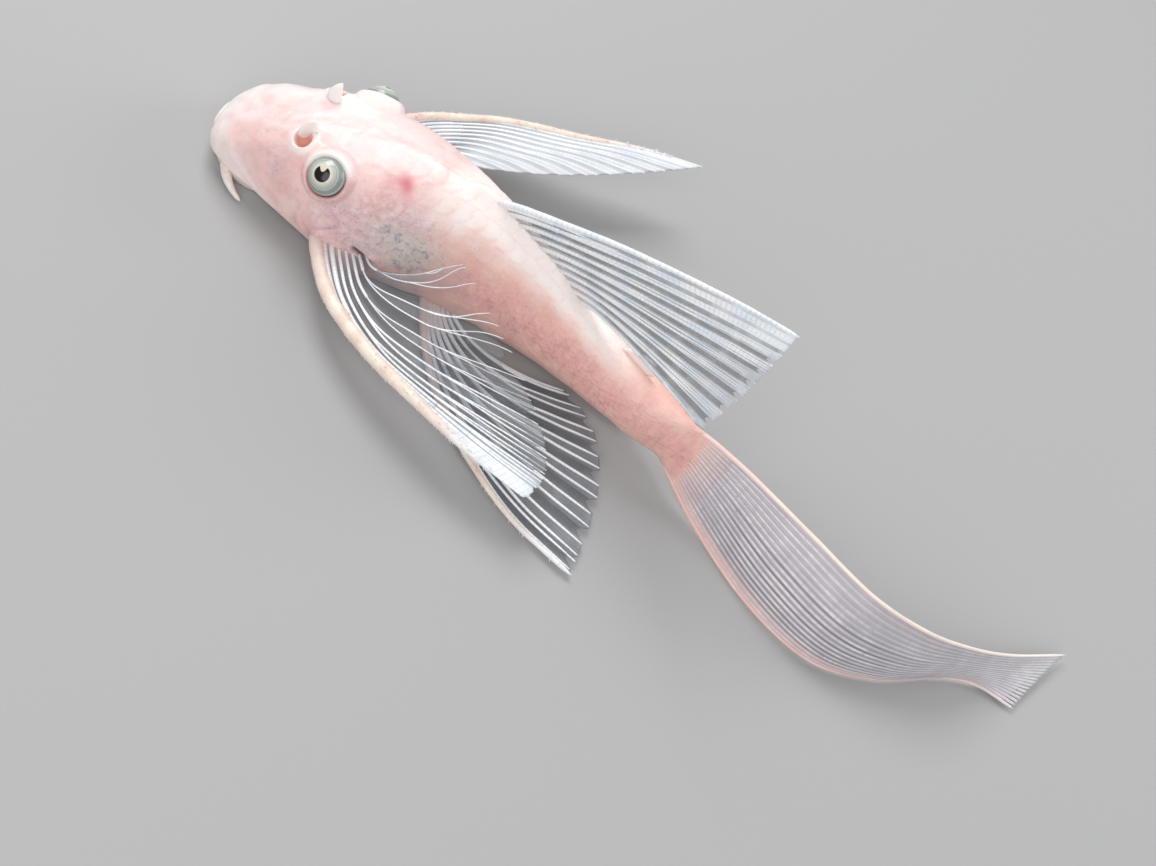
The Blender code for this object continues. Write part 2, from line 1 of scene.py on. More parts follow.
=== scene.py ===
# %% [markdown]
# # Dressing a longfin bristlenose pleco
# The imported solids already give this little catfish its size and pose. This lesson makes what
# the eye sees: one unbroken skin with its bony plates and soft head, wet eyes, a sucking mouth,
# and long fins of branched white rays in clear membrane. Lengths are in millimetres until a
# mesh is made. +X is forward, +Y the fish's left and +Z up.
# %% Load the solids
import math

import bmesh
import bpy
import numpy as np
from mathutils import Matrix, Vector, noise


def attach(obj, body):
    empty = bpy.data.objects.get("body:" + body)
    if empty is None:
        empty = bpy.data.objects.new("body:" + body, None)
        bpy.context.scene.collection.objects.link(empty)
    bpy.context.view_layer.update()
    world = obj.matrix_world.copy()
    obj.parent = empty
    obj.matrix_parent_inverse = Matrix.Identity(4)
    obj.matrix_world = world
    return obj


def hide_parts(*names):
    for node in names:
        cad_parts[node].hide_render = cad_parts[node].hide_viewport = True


MM = 0.001
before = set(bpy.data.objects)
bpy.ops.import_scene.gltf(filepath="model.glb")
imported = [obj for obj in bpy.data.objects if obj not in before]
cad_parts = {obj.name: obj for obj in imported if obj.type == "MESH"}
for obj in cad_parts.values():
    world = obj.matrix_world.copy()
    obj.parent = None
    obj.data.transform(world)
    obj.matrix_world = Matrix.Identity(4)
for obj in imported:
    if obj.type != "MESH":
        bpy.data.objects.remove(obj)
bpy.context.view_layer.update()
print("solids:", ", ".join(sorted(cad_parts)))

# %% [markdown]
# ## Camera, floor and light
# The camera looks down on the left side of the fish from behind its shoulder and is rolled, so
# that the fish crosses the picture from the upper left to the lower right. The floor is plain.
# A fish this pale needs soft light from one side and a darker fill, or its forms wash out.
# %% Camera
CAMERA_PLACE = Vector((-45.53, 143.37, 165.63)) * MM
CAMERA_RIGHT = Vector((-0.7277, -0.5552, 0.4026))
CAMERA_UP = Vector((0.6826, -0.5295, 0.5036))
CAMERA_BACK = Vector((-0.0664, 0.6414, 0.7644))
LENS = 50.0
SENSOR = 36.0
NEAREST = 0.005


def put(name, data):
    """A new object of the scene, from its data."""
    made = bpy.data.objects.new(name, data)
    bpy.context.scene.collection.objects.link(made)
    return made


def make_camera():
    """The photograph's view, as a camera of 50 mm on a 36 mm sensor."""
    camera = put("camera", bpy.data.cameras.new("camera"))
    camera.data.lens = LENS
    camera.data.sensor_width = SENSOR
    camera.data.clip_start = NEAREST
    turn = Matrix((CAMERA_RIGHT, CAMERA_UP, CAMERA_BACK)).transposed()
    camera.matrix_world = Matrix.Translation(CAMERA_PLACE) @ turn.to_4x4()
    bpy.context.scene.camera = camera


make_camera()
print("camera stands", round(CAMERA_PLACE.z / MM), "mm above the floor")

# %% Lights
# Each light: name, way it stands from the fish, distance in metres, width in metres, power.
LIGHTS = (
    ("key", (0.62, -0.38, 0.80), 0.50, 0.26, 1.65),
    ("fill", (-0.20, 0.95, 0.75), 0.55, 0.50, 1.8),
    ("rim", (-0.75, -0.85, 0.45), 0.50, 0.25, 0.8),
)
FISH_MIDDLE = Vector((-0.03, 0.0, 0.01))
WORLD_COLOUR = (0.97, 0.98, 1.0, 1.0)
WORLD_STRENGTH = 0.36


def make_light(name, way, distance, width, power):
    """A square soft light that faces the fish."""
    light = put(name, bpy.data.lights.new(name, "AREA"))
    light.data.energy = power
    light.data.size = width
    way = Vector(way).normalized()
    light.location = FISH_MIDDLE + way * distance
    light.rotation_euler = way.to_track_quat("Z", "Y").to_euler()


for settings in LIGHTS:
    make_light(*settings)
world = bpy.data.worlds.new("studio")
world.use_nodes = True
background = world.node_tree.nodes["Background"]
background.inputs["Color"].default_value = WORLD_COLOUR
background.inputs["Strength"].default_value = WORLD_STRENGTH
bpy.context.scene.world = world
bpy.context.scene.view_settings.view_transform = "Standard"
print("lights:", len(LIGHTS))

# %% [markdown]
# ## Shader maths in plain expressions
# A finish is easier to read as `1 - mask * 0.4` than as a web of nodes. `Wire` wraps one output
# socket and turns the arithmetic signs into Math nodes. `Finish` is one material, and its `node`
# makes every other kind of node. Most finishes here are a ground colour with others laid over it
# one by one, and `paint` does that.
# %% Wire
class Wire:
    """An output socket that can be added, subtracted and multiplied like a number."""

    def __init__(self, finish, socket):
        self.finish = finish
        self.socket = socket

    def math(self, operation, *others):
        """A Math node with this wire as its first value."""
        return self.finish.math(operation, self, *others)

    def __add__(self, other):
        return self.math("ADD", other)

    def __sub__(self, other):
        return self.math("SUBTRACT", other)

    def __mul__(self, other):
        return self.math("MULTIPLY", other)

    def __rsub__(self, other):
        return self.finish.math("SUBTRACT", other, self)

    __radd__ = __add__
    __rmul__ = __mul__

    def ramp(self, low, high):
        """0 below low, 1 above high and smooth between. Low may be the larger of the two."""
        settings = {"interpolation_type": "SMOOTHSTEP"}
        return self.finish.node("ShaderNodeMapRange", settings, {0: self, 1: low, 2: high})


# %% Finish
class Finish:
    """A material with one Principled BSDF, and short ways to make what feeds it."""

    def __init__(self, name, **constants):
        self.material = bpy.data.materials.new(name)
        self.material.use_nodes = True
        self.tree = self.material.node_tree
        self.shader = self.tree.nodes["Principled BSDF"]
        for socket, value in constants.items():
            self.shader.inputs[socket.replace("_", " ")].default_value = value

    def node(self, kind, settings=None, inputs=None, output=0):
        """A node of a kind, its settings set first, then the values or links of its sockets."""
        made = self.tree.nodes.new(kind)
        for name, value in (settings or {}).items():
            setattr(made, name, value)
        for name, value in (inputs or {}).items():
            if isinstance(value, Wire):
                self.tree.links.new(value.socket, made.inputs[name])
            else:
                made.inputs[name].default_value = value
        return Wire(self, made.outputs[output])

    def math(self, operation, *values):
        """A Math node on numbers or wires."""
        return self.node("ShaderNodeMath", {"operation": operation}, dict(enumerate(values)))

    def vector_math(self, operation, *values, output=0):
        """A Vector Math node on places or wires."""
        settings = {"operation": operation}
        return self.node("ShaderNodeVectorMath", settings, dict(enumerate(values)), output)

    def place(self):
        """A point's place on the piece, in millimetres."""
        where = self.node("ShaderNodeTexCoord", output="Object")
        return self.vector_math("MULTIPLY", where, (1 / MM,) * 3)

    def noise(self, where, scale, detail=2.0, roughness=0.5):
        """Noise of about 0 to 1. Scale is how many lumps there are in a unit of where."""
        inputs = {"Vector": where, "Scale": scale, "Detail": detail, "Roughness": roughness}
        return self.node("ShaderNodeTexNoise", None, inputs)

    def attribute(self, name):
        """A number stored on the piece's points."""
        return self.node("ShaderNodeAttribute", {"attribute_name": name}, output="Fac")

    def paint(self, tone, *layers):
        """A tone with others laid over it in turn. Each layer is its share and its colour."""
        for share, over in layers:
            inputs = {0: share, 6: tone, 7: over}
            tone = self.node("ShaderNodeMix", {"data_type": "RGBA"}, inputs, output=2)
        return tone

    def feed(self, socket, wire):
        """Joins a wire to the shader."""
        self.tree.links.new(wire.socket, self.shader.inputs[socket])

    def bump(self, height, strength):
        """Relief from a height in millimetres, too fine to be built."""
        inputs = {"Strength": strength, "Distance": MM, "Height": height}
        self.feed("Normal", self.node("ShaderNodeBump", None, inputs))


def colour(red, green, blue):
    """A colour from screen values of 0 to 255, as the linear light that a shader wants."""
    screen = np.array([red, green, blue]) / 255
    return (*np.where(screen < 0.04045, screen / 12.92, ((screen + 0.055) / 1.055) ** 2.4), 1.0)


# %% The floor
FLOOR_COLOUR = (0.42, 0.42, 0.42, 1.0)
FLOOR_HALF = 2.0
FLOOR_DROP = 0.03 * MM


def make_object(name, mesh, finish):
    """An object of the scene from a bmesh, which is freed, and its finish."""
    data = bpy.data.meshes.new(name)
    mesh.to_mesh(data)
    mesh.free()
    data.materials.append(finish.material)
    return put(name, data)


def make_floor():
    """A plain pale floor, a hair below the solids that stand on it."""
    mesh = bmesh.new()
    bmesh.ops.create_grid(mesh, x_segments=1, y_segments=1, size=FLOOR_HALF)
    bmesh.ops.translate(mesh, vec=(0, 0, -FLOOR_DROP), verts=mesh.verts)
    floor = make_object("floor", mesh, Finish("floor", Base_Color=FLOOR_COLOUR, Roughness=0.7))


make_floor()
print("floor laid")

# %% [markdown]
# ## The form of the body
# A pleco is a flat-bellied wedge with a broad head and a slim tail stem. Its form is a row of
# rounded cross sections along a backbone that bends left behind the head. The same sections
# shape the solids, so the skin lies right on them. Every function works on whole arrays, which
# keeps a fine skin quick to make.
# %% Sections along the backbone
STANDARD_LENGTH = 75.0
BELLY_STATION = 34.0
HEAD_TURN = math.radians(16.0)
TAIL_TURN = math.radians(-4.5)
HEAD_BEND = (20.0, 48.0)
TAIL_BEND = (50.0, 80.0)
BACKBONE_ENDS = (-4.0, STANDARD_LENGTH + 14.0)
BACKBONE_STEP = 0.5
# Station, half width, top, bottom, height of the widest line, squareness above and below it.
BODY_SECTIONS = np.array((
    (0.0, 2.6, 4.1, 2.1, 3.0, 2.1, 2.0),
    (0.5, 4.4, 5.4, 1.7, 3.0, 2.2, 2.4),
    (2.0, 6.2, 7.2, 1.5, 3.1, 2.4, 3.0),
    (5.0, 7.5, 9.6, 1.4, 3.2, 2.6, 4.0),
    (9.0, 8.4, 11.6, 1.4, 3.3, 2.8, 4.0),
    (14.0, 9.8, 13.2, 1.3, 3.5, 2.8, 4.0),
    (20.0, 11.0, 14.7, 0.6, 3.9, 2.6, 4.0),
    (24.5, 11.1, 15.7, -0.2, 3.9, 2.4, 4.0),
    (30.0, 9.8, 16.6, -0.5, 3.8, 2.2, 4.0),
    (37.0, 7.6, 17.0, -0.5, 4.2, 2.1, 3.6),
    (46.0, 5.3, 15.9, -0.3, 5.2, 2.0, 3.0),
    (52.0, 4.3, 14.6, 0.6, 6.0, 2.0, 2.6),
    (58.0, 4.1, 13.4, 1.7, 6.7, 2.1, 2.4),
    (64.0, 4.1, 12.5, 2.6, 7.2, 2.1, 2.3),
    (70.0, 3.6, 12.1, 3.1, 7.5, 2.1, 2.2),
    (75.0, 2.5, 12.2, 3.3, 7.7, 2.0, 2.0),
))
print("sections:", len(BODY_SECTIONS))


# %% Smooth steps and bells
def ramp(x, low=0.0, high=1.0):
    """0 at low, 1 at high and a smooth step between. Low may be the larger of the two."""
    x = np.clip((x - low) / (high - low), 0.0, 1.0)
    return x * x * (3 - 2 * x)


def between(x, start, risen, falling, end):
    """0 before start and after end, 1 from risen to falling, with smooth steps."""
    return ramp(x, start, risen) * ramp(x, end, falling)


def bell(x, middle=0.0, width=1.0):
    """1 in the middle, falling smoothly to nothing past about two widths on each side."""
    return np.exp(-np.square((x - middle) / width))


def blend(ends, share):
    """From the first of two ends to the second, by a share."""
    return ends[0] + (ends[1] - ends[0]) * share


# %% The bent backbone
def heading(station):
    """The way the backbone points at a station, turned from +X."""
    return HEAD_TURN * (1 - ramp(station, *HEAD_BEND)) + TAIL_TURN * ramp(station, *TAIL_BEND)


def backbone_table():
    """Stations, and the backbone's x and y at each, found by walking along it."""
    stations = np.arange(*BACKBONE_ENDS, BACKBONE_STEP)
    turns = heading(stations)
    table = [stations]
    for pace in (np.cos(turns), np.sin(turns)):
        walked = -np.concatenate([[0], np.cumsum((pace[1:] + pace[:-1]) / 2 * BACKBONE_STEP)])
        table.append(walked - np.interp(BELLY_STATION, stations, walked))
    return table


BACKBONE = backbone_table()


def bend(local):
    """Places in the room from an array of (station, side, height)."""
    station, side, height = np.moveaxis(np.asarray(local, float), -1, 0)
    stations, x, y = BACKBONE
    turn = heading(station)
    east = np.interp(station, stations, x) - side * np.sin(turn)
    north = np.interp(station, stations, y) + side * np.cos(turn)
    return np.stack([east, north, height], -1)


# %% Points on the plain body
def section(station):
    """The section's numbers at each station, read smoothly between the rows."""
    along = np.sqrt(BODY_SECTIONS[:, 0])
    values = BODY_SECTIONS[:, 1:]
    slopes = np.gradient(values, along, axis=0)
    at = np.sqrt(np.clip(station, 0.0, STANDARD_LENGTH))
    k = np.clip(np.searchsorted(along, at) - 1, 0, len(along) - 2)
    span = (along[k + 1] - along[k])[..., None]
    t = (at - along[k])[..., None] / span
    start = values[k] * (2 * t**3 - 3 * t**2 + 1) + slopes[k] * span * (t**3 - 2 * t**2 + t)
    return start + values[k + 1] * (3 * t**2 - 2 * t**3) + slopes[k + 1] * span * (t**3 - t**2)


def signed_power(value, exponent):
    """A power that keeps the sign, for the rounded square of a section."""
    return np.sign(value) * np.abs(value) ** exponent


def body_point(station, angle):
    """(station, side, height) on the plain body. Angle 0 is its left, a quarter turn its ridge."""
    half, top, bottom, wide, above, below = np.moveaxis(section(station), -1, 0)
    rise = np.sin(angle)
    reach = np.where(rise >= 0, top - wide, wide - bottom)
    square = np.where(rise >= 0, above, below)
    side = half * signed_power(np.cos(angle), 2 / square)
    height = np.maximum(wide + reach * signed_power(rise, 2 / square), 0.0)
    return np.stack([station + 0 * side, side, height], -1)


print("body length", STANDARD_LENGTH, "mm, widest", 2 * BODY_SECTIONS[:, 1].max(), "mm")

# %% [markdown]
# ## The shape of a fin
# A fin is a fan of rays. Three smooth guides give its form: the leading ray, one in the middle
# and the last. Every other place on the fan is blended from them, so membrane, rays and spine
# all lie on one curved surface. The guides are those of the solids.
# %% The guides of every fin
GUIDES = {
    "pectoral_fin_left": (
        ((14, 10.5, 4.2), (9, 16, 4.3), (2.5, 20.5, 4.8), (-6, 23, 5.6), (-14, 24, 6.4),
         (-24, 24.5, 6.8), (-33.5, 23.5, 6.6)),
        ((10.5, 9.5, 4.2), (6, 14, 4.5), (1, 17.8, 5), (-5.5, 20, 5.8), (-13, 19.5, 6.6),
         (-21, 17, 7.2), (-28.5, 14, 7.6)),
        ((7.5, 8.5, 4.2), (5, 10.8, 4.6), (2.5, 12.5, 5.6), (-0.5, 12.8, 8), (-3.2, 12, 10.5),
         (-5, 9.8, 12.2), (-6.5, 7.8, 13.2)),
    ),
    "pectoral_fin_right": (
        ((19.5, -6, 4.2), (17, -13.5, 4.6), (13.5, -18.5, 5.2), (7.5, -25, 6.2),
         (-0.5, -31, 7.4), (-8.5, -37.5, 8.6), (-16.5, -42.5, 9.6)),
        ((16.5, -6, 4.2), (14, -12, 4.6), (11.5, -15.8, 5.1), (8, -19, 6), (3, -22, 6.8),
         (-1.5, -24.5, 7.4), (-6, -26, 7.6)),
        ((13.5, -6, 4.2), (11.5, -9.5, 4.6), (10, -11.3, 5), (8.5, -12, 5.6), (7, -12.5, 6.2),
         (5.5, -13, 6.6), (4, -13.7, 7)),
    ),
    "pelvic_fin_left": (
        ((-1.5, 4, 0.9), (-8.5, 12, 0.9), (-15.5, 17.2, 0.8), (-23, 20.5, 0.8), (-33, 23, 0.8),
         (-44, 23, 0.8)),
        ((-3, 3.5, 0.9), (-9, 9, 0.9), (-16, 11.5, 0.9), (-23, 11.5, 0.9), (-30, 9.2, 0.9),
         (-36.5, 6.2, 0.9)),
        ((-5, 3, 0.9), (-9, 5.5, 0.9), (-13, 6.2, 0.9), (-17.5, 5.4, 0.8), (-22, 3.6, 0.8),
         (-26, 1.2, 0.8)),
    ),
    "pelvic_fin_right": (
        ((-1.5, -4, 0.9), (-7.5, -10, 0.9), (-15, -12, 0.8), (-24, -12.5, 0.8),
         (-33.5, -12, 0.8), (-43, -11.5, 0.8)),
        ((-3, -3.5, 0.9), (-8.5, -8, 0.9), (-15, -9.5, 0.9), (-22.5, -9.5, 0.9),
         (-30, -8.5, 0.9), (-37, -7.2, 0.9)),
        ((-5, -3, 0.9), (-9, -5.8, 0.9), (-13, -7, 0.9), (-17, -6.8, 0.8), (-21, -5.9, 0.8),
         (-25, -4.8, 0.8)),
    ),
    "dorsal_fin": (
        ((-1, -0.2, 14.5), (-5, -0.2, 18.4), (-11.5, -0.4, 21.9), (-20, -0.8, 25.9),
         (-29, -1.3, 29.3), (-37, -1.9, 31.8), (-44.5, -2.6, 33.5)),
        ((-9, -0.4, 14), (-14, -0.4, 17), (-20, -0.4, 19.3), (-26.5, -0.3, 21.3),
         (-33, -0.2, 22.9), (-39, -0.1, 24.2), (-44.5, 0, 25)),
        ((-17, -0.6, 12.5), (-21.5, -0.6, 14.4), (-26, 0.2, 15.3), (-31, 1.1, 15.8),
         (-35.5, 1.6, 15.6), (-39.5, 1.9, 15.2), (-43.5, 2.2, 14.8)),
    ),
    "anal_fin": (
        ((-16, -0.8, 2.2), (-21, -1.2, 1.2), (-26, -1.8, 0.8), (-32, -2.4, 0.6), (-38, -2.6, 0.6)),
        ((-18.5, -0.8, 2.8), (-22, -1.1, 1.8), (-26, -1.6, 1.4), (-30.5, -2.1, 1.2),
         (-34.5, -2.2, 1.2)),
        ((-21, -0.8, 3.2), (-23.5, -1, 2.3), (-25.8, -1.3, 2), (-28, -1.6, 1.8), (-30, -1.7, 1.8)),
    ),
    "caudal_fin": (
        ((-39.5, -0.2, 11.6), (-50.5, -1, 11.4), (-62.5, -0.6, 11.3), (-74, -0.2, 11.2),
         (-82.5, -3.2, 10), (-89, -8.6, 7.6), (-95.5, -16.5, 4), (-103.5, -27.5, 0.9)),
        ((-39.5, 0, 7.8), (-50.5, 1.5, 6.6), (-62.5, 4.2, 6.2), (-74, 4.4, 5.8),
         (-83, -0.5, 4.8), (-90, -8, 3.4), (-96, -14.5, 1.6), (-102, -19.8, 0.8)),
        ((-39.5, 0, 4), (-51, 3, 0.9), (-63, 6.3, 0.6), (-74, 6.2, 0.6), (-82.5, 0.8, 0.6),
         (-89, -6.8, 0.6), (-94.5, -11, 0.6), (-101, -12.6, 0.6)),
    ),
}
# The adipose fin stands on the tail stem: its guides are (station back, height up) from there.
ADIPOSE_PLACE = (62.0, -0.3, section(np.array(62.0))[1] - 0.6)
ADIPOSE = (
    ((0, 0), (1.6, 1.3), (3.4, 2.1), (5.2, 2.5)),
    ((2.6, 0), (3.4, 0.8), (4.4, 1.3), (5.5, 1.6)),
    ((5, 0), (5.3, 0.3), (5.6, 0.5), (5.9, 0.7)),
)
GUIDES["adipose_fin"] = [
    bend([np.add(ADIPOSE_PLACE, (back, 0, up)) for back, up in line]) for line in ADIPOSE
]
print("fins:", ", ".join(GUIDES))

# %% A place on a fan
FAN_FLOOR = 0.3
FAN_STEP = 0.01


def through(points, t):
    """Places on the smooth curve through the points, from 0 at the first to 1 at the last."""
    points = np.array(points, float)
    ends = (2 * points[0] - points[1], 2 * points[-1] - points[-2])
    padded = np.vstack([ends[0], points, ends[1]])
    spans = len(points) - 1
    k = np.clip((t * spans).astype(int), 0, spans - 1)
    f = (t * spans - k)[..., None]
    p0, p1, p2, p3 = (padded[k + i] for i in range(4))
    turn = (p2 - p0) * f + (2 * p0 - 5 * p1 + 4 * p2 - p3) * f**2
    return p1 + 0.5 * (turn + (3 * p1 - 3 * p2 + p3 - p0) * f**3)


def fan_point(guides, across, along):
    """Places on a fan. Across is 0 at the leading ray and 1 at the last, along 0 at the root."""
    across, along = np.broadcast_arrays(np.asarray(across, float), np.asarray(along, float))
    lead, middle, last = (through(guide, along) for guide in guides)
    u = across[..., None]
    spot = lead * ((1 - u) * (1 - 2 * u)) + middle * (4 * u * (1 - u)) + last * (u * (2 * u - 1))
    spot[..., 2] = np.maximum(spot[..., 2], FAN_FLOOR)
    return spot


def unit(vectors):
    """The same vectors at length 1."""
    return vectors / np.maximum(np.linalg.norm(vectors, axis=-1, keepdims=True), 1e-9)


def fan_normal(guides, across, along):
    """The way out of the fan's surface."""
    across, along = np.broadcast_arrays(np.asarray(across, float), np.asarray(along, float))
    u0, u1 = np.maximum(across - FAN_STEP, 0), np.minimum(across + FAN_STEP, 1)
    t0, t1 = np.maximum(along - FAN_STEP, 0), np.minimum(along + FAN_STEP, 1)
    wide = fan_point(guides, u1, along) - fan_point(guides, u0, along)
    long = fan_point(guides, across, t1) - fan_point(guides, across, t0)
    return unit(np.cross(wide, long))


tip = fan_point(GUIDES["caudal_fin"], 0.0, 1.0)
print("tail fin's upper tip", tip.round(1), "mm")

# %% [markdown]
# ## Meshes from a stretched grid
# A long soft form with detail all over is easiest as a grid that is wrapped round it. The grid
# operator makes the corners and faces. Each corner knows its row and column, and moves to its
# place in an array. Where a wrapped grid meets itself, the doubled corners are merged.
# %% Wrapped grids and finished pieces
# Corners closer than this, in metres, are merged.
MERGE = 1e-6


def move_points(mesh, places):
    """Moves each point of a mesh to its place, given in millimetres."""
    for vert, place in zip(mesh.verts, (places * MM).tolist()):
        vert.co = place


def keep_layer(mesh, name, values):
    """Stores a number on each point of a mesh."""
    layer = mesh.verts.layers.float.new(name)
    for vert, value in zip(mesh.verts, values.tolist()):
        vert[layer] = value


def wrap_grid(places, masks=None):
    """A grid laid on an array of places in millimetres, with masks kept as point layers."""
    rows, columns = places.shape[:2]
    mesh = bmesh.new()
    bmesh.ops.create_grid(mesh, x_segments=rows - 1, y_segments=columns - 1, size=1.0)
    spots = np.array([v.co[:2] for v in mesh.verts])
    index = np.rint((spots + 1) / 2 * (rows - 1, columns - 1)).astype(int)
    i, j = index[:, 0], index[:, 1]
    move_points(mesh, places[i, j])
    for name, mask in (masks or {}).items():
        keep_layer(mesh, name, mask[i, j])
    bmesh.ops.remove_doubles(mesh, verts=mesh.verts, dist=MERGE)
    bmesh.ops.recalc_face_normals(mesh, faces=mesh.faces)
    return mesh


def add_piece(name, mesh, finish, slot, *nodes):
    """A finished piece: its mesh, its finish, what it rides on and what it stands for."""
    piece = make_object(name, mesh, finish)
    piece.data.shade_smooth()
    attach(piece, "root")
    if nodes:
        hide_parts(*nodes)
    piece.data.calc_loop_triangles()
    print(f"{name}: {len(piece.data.loop_triangles)} triangles")


# %% [markdown]
# ## The skin
# One skin runs from the snout over the head and the body into the root of the tail fin. Its
# rows are closest together on the head. Round each row the points are spread evenly over the
# back and sides and more thinly over the belly, which is only seen from below.
# %% Rows and columns of the skin
SKIN_COLUMNS = 250
BELLY_THIN = 0.35
SNOUT_CAP = (0.0, 0.2, 0.4, 0.6, 0.78, 0.92)
# Stretches of the body: first station, last station, number of rows.
SKIN_ROWS = ((0.0, 1.5, 10), (1.5, 8.0, 34), (8.0, 24.5, 108), (24.5, 84.0, 190))
FINE_ANGLES = 721
EYE_PLACE = (17.4, 8.0, 11.8)
EYE_RADIUS = 2.7


def skin_rows():
    """The station of each row, and how far the rows of the snout's cap are shrunk."""
    stations = [np.zeros(len(SNOUT_CAP))]
    for start, end, count in SKIN_ROWS:
        stations.append(np.linspace(start, end, count, endpoint=False))
    shrink = np.ones(sum(len(s) for s in stations))
    shrink[: len(SNOUT_CAP)] = SNOUT_CAP
    return np.concatenate(stations), shrink


def even_angles(stations):
    """Angles round each row that keep its points evenly spaced, but sparser under the belly."""
    fine = np.linspace(-math.pi / 2, 3 * math.pi / 2, FINE_ANGLES)
    rings = body_point(stations[:, None], fine[None, :])
    steps = np.linalg.norm(np.diff(rings, axis=1), axis=-1)
    under = ramp(-np.sin((fine[1:] + fine[:-1]) / 2), 0.2, 0.7)
    steps = steps * (1 - (1 - BELLY_THIN) * under)
    length = np.concatenate([np.zeros((len(stations), 1)), np.cumsum(steps, axis=1)], axis=1)
    share = np.linspace(0, 1, SKIN_COLUMNS)
    return np.array([np.interp(share * row[-1], row, fine) for row in length])


stations, shrink = skin_rows()
angles = even_angles(stations)
local = body_point(np.repeat(stations[:, None], SKIN_COLUMNS, axis=1), angles)
station, side, height = np.moveaxis(local, -1, 0)
print("skin grid", local.shape[0], "by", local.shape[1])

# %% [markdown]
# ## Relief of the head
# The head is built of bones under thin skin, with soft parts at its edges. Each form is a small
# function of the distance to a named place: a fleshy margin round the snout with a groove
# behind it, a rim and pit for each nostril, ridges from the snout to the eyes, a swollen cheek,
# and a slit where the gill opens in front of the fin.
# %% Head forms
NOSTRIL_PLACE = (12.3, 4.95, 11.8)
NOSTRIL_SIZE = 1.35
CHEEK_PLACE = (19.5, 10.6, 6.0)
CHEEK_SIZE = 3.4
# Soft swellings on both sides: height, place and width, for nostril, cheek and shoulder.
SWELLINGS = (
    (0.45, NOSTRIL_PLACE, 2.2),
    (0.50, CHEEK_PLACE, 3.2),
    (0.75, (20.0, 11.1, 5.0), 1.8),
)
# Two slots: place, half length, half width, how much one rises to the rear for each millimetre.
GILL_SLIT = ((26.5, 10.85, 4.9), 2.4, 0.75, -0.4)
CHEEK_FOLD = ((20.4, 11.3, 6.8), 1.8, 0.6, 0.7)
# The ridge from the nostril to the eye.
BROW_ENDS = ((13.0, 5.6, 12.4), (16.0, 6.4, 13.2))


def away(place, turn):
    """How far each point of the skin is from a place on one side, in millimetres."""
    return np.linalg.norm(local - np.array(place) * (1, turn, 1), axis=-1)


def away_line(start, end, turn):
    """How far each point of the skin is from a straight line between two places on one side."""
    start, end = (np.array(place) * (1, turn, 1) for place in (start, end))
    along = np.clip((local - start) @ (end - start) / ((end - start) @ (end - start)), 0, 1)
    return np.linalg.norm(local - start - along[..., None] * (end - start), axis=-1)


def slot_mask(place, length, width, slope):
    """A short line along the body at a place on both sides: 1 inside it."""
    x, y, z = station - place[0], np.abs(side) - place[1], height - place[2]
    apart = np.hypot(y, z - slope * x)
    return ramp(apart, width, 0) * ramp(np.abs(x), length, 0.5 * length)


def snout_margin():
    """How far behind the groove of the snout's soft margin each point lies."""
    drop = np.maximum(8.0 - height, -0.5)
    return station - (3.0 + 0.75 * drop + 0.16 * drop**2)


# %% How far the head's forms stand out
def head_relief():
    """How far the head's skin stands out from the plain body."""
    lip = 0.12 * bell(margin, -1.5, 1.4) - 0.04 * bell(margin) * ramp(station, 14, 10)
    rise = lip * ramp(height, 2.2, 3.7)
    for turn in (1, -1):
        for swell, place, width in SWELLINGS:
            rise += swell * bell(away(place, turn), 0, width)
        nostril = away(NOSTRIL_PLACE, turn)
        rise += 0.24 * bell(nostril, NOSTRIL_SIZE + 0.1, 0.32)
        rise -= 1.05 * ramp(nostril, NOSTRIL_SIZE, NOSTRIL_SIZE - 0.65)
        brow = bell(away_line(*BROW_ENDS, turn), 0, 1.5)
        rise += 0.55 * brow * ramp(nostril, NOSTRIL_SIZE, NOSTRIL_SIZE + 1)
        rise += 0.18 * bell(away(CHEEK_PLACE, turn), CHEEK_SIZE, 0.5) * (height > 3.5)
    out = np.abs(side)
    ridge = bell(out, 4.2 + 0.13 * (station - 8), 0.9)
    rise += 0.22 * ridge * between(station, 3.5, 6.5, 15, 19)
    rise += 0.20 * bell(side, 0, 1.2) * between(station, 19, 24, 26, 34)
    rise -= 0.15 * bell(out, 2.4, 1.0) * bell(station, 14, 5) * (height > 8)
    rise += 0.9 * bell(side, 0, 1.1) * between(station, 32.5, 35.5, 49, 54) * (height > 9)
    rise += 0.035 * np.sin(side * 2.6 + 0.5 * station) * bell(station, 6, 3.5) * (height > 4)
    return rise - 0.9 * slot_mask(*GILL_SLIT) - 0.55 * slot_mask(*CHEEK_FOLD)


def lumps(size, seed):
    """Soft noise over the skin, from about -1 to 1."""
    points = (local + seed) / size
    flat = [noise.noise(p) for p in points.reshape(-1, 3).tolist()]
    return 2.0 * np.array(flat).reshape(local.shape[:2])


margin = snout_margin()
relief = head_relief()
print("head relief from", relief.min().round(2), "to", relief.max().round(2), "mm")

# %% [markdown]
# ## Bony plates
# Behind the head the body is covered by five rows of thin plates on each side. Each plate laps
# over the next, so its rear edge stands up a little and then drops. Here the plates are part of
# the skin's own surface: a saw tooth along the body, bowed back in the middle of each row.
# %% Plates
PLATE_ROWS = 5
PLATE_PITCH = 2.3
PLATE_RISE = 0.055
PLATE_BOW = 0.8
# Where the armour fades in and out along the body, and below its last row.
ARMOUR_ALONG = (24.0, 29.0, 74.0, 79.0)
ARMOUR_BELOW = (5.6, 5.1)


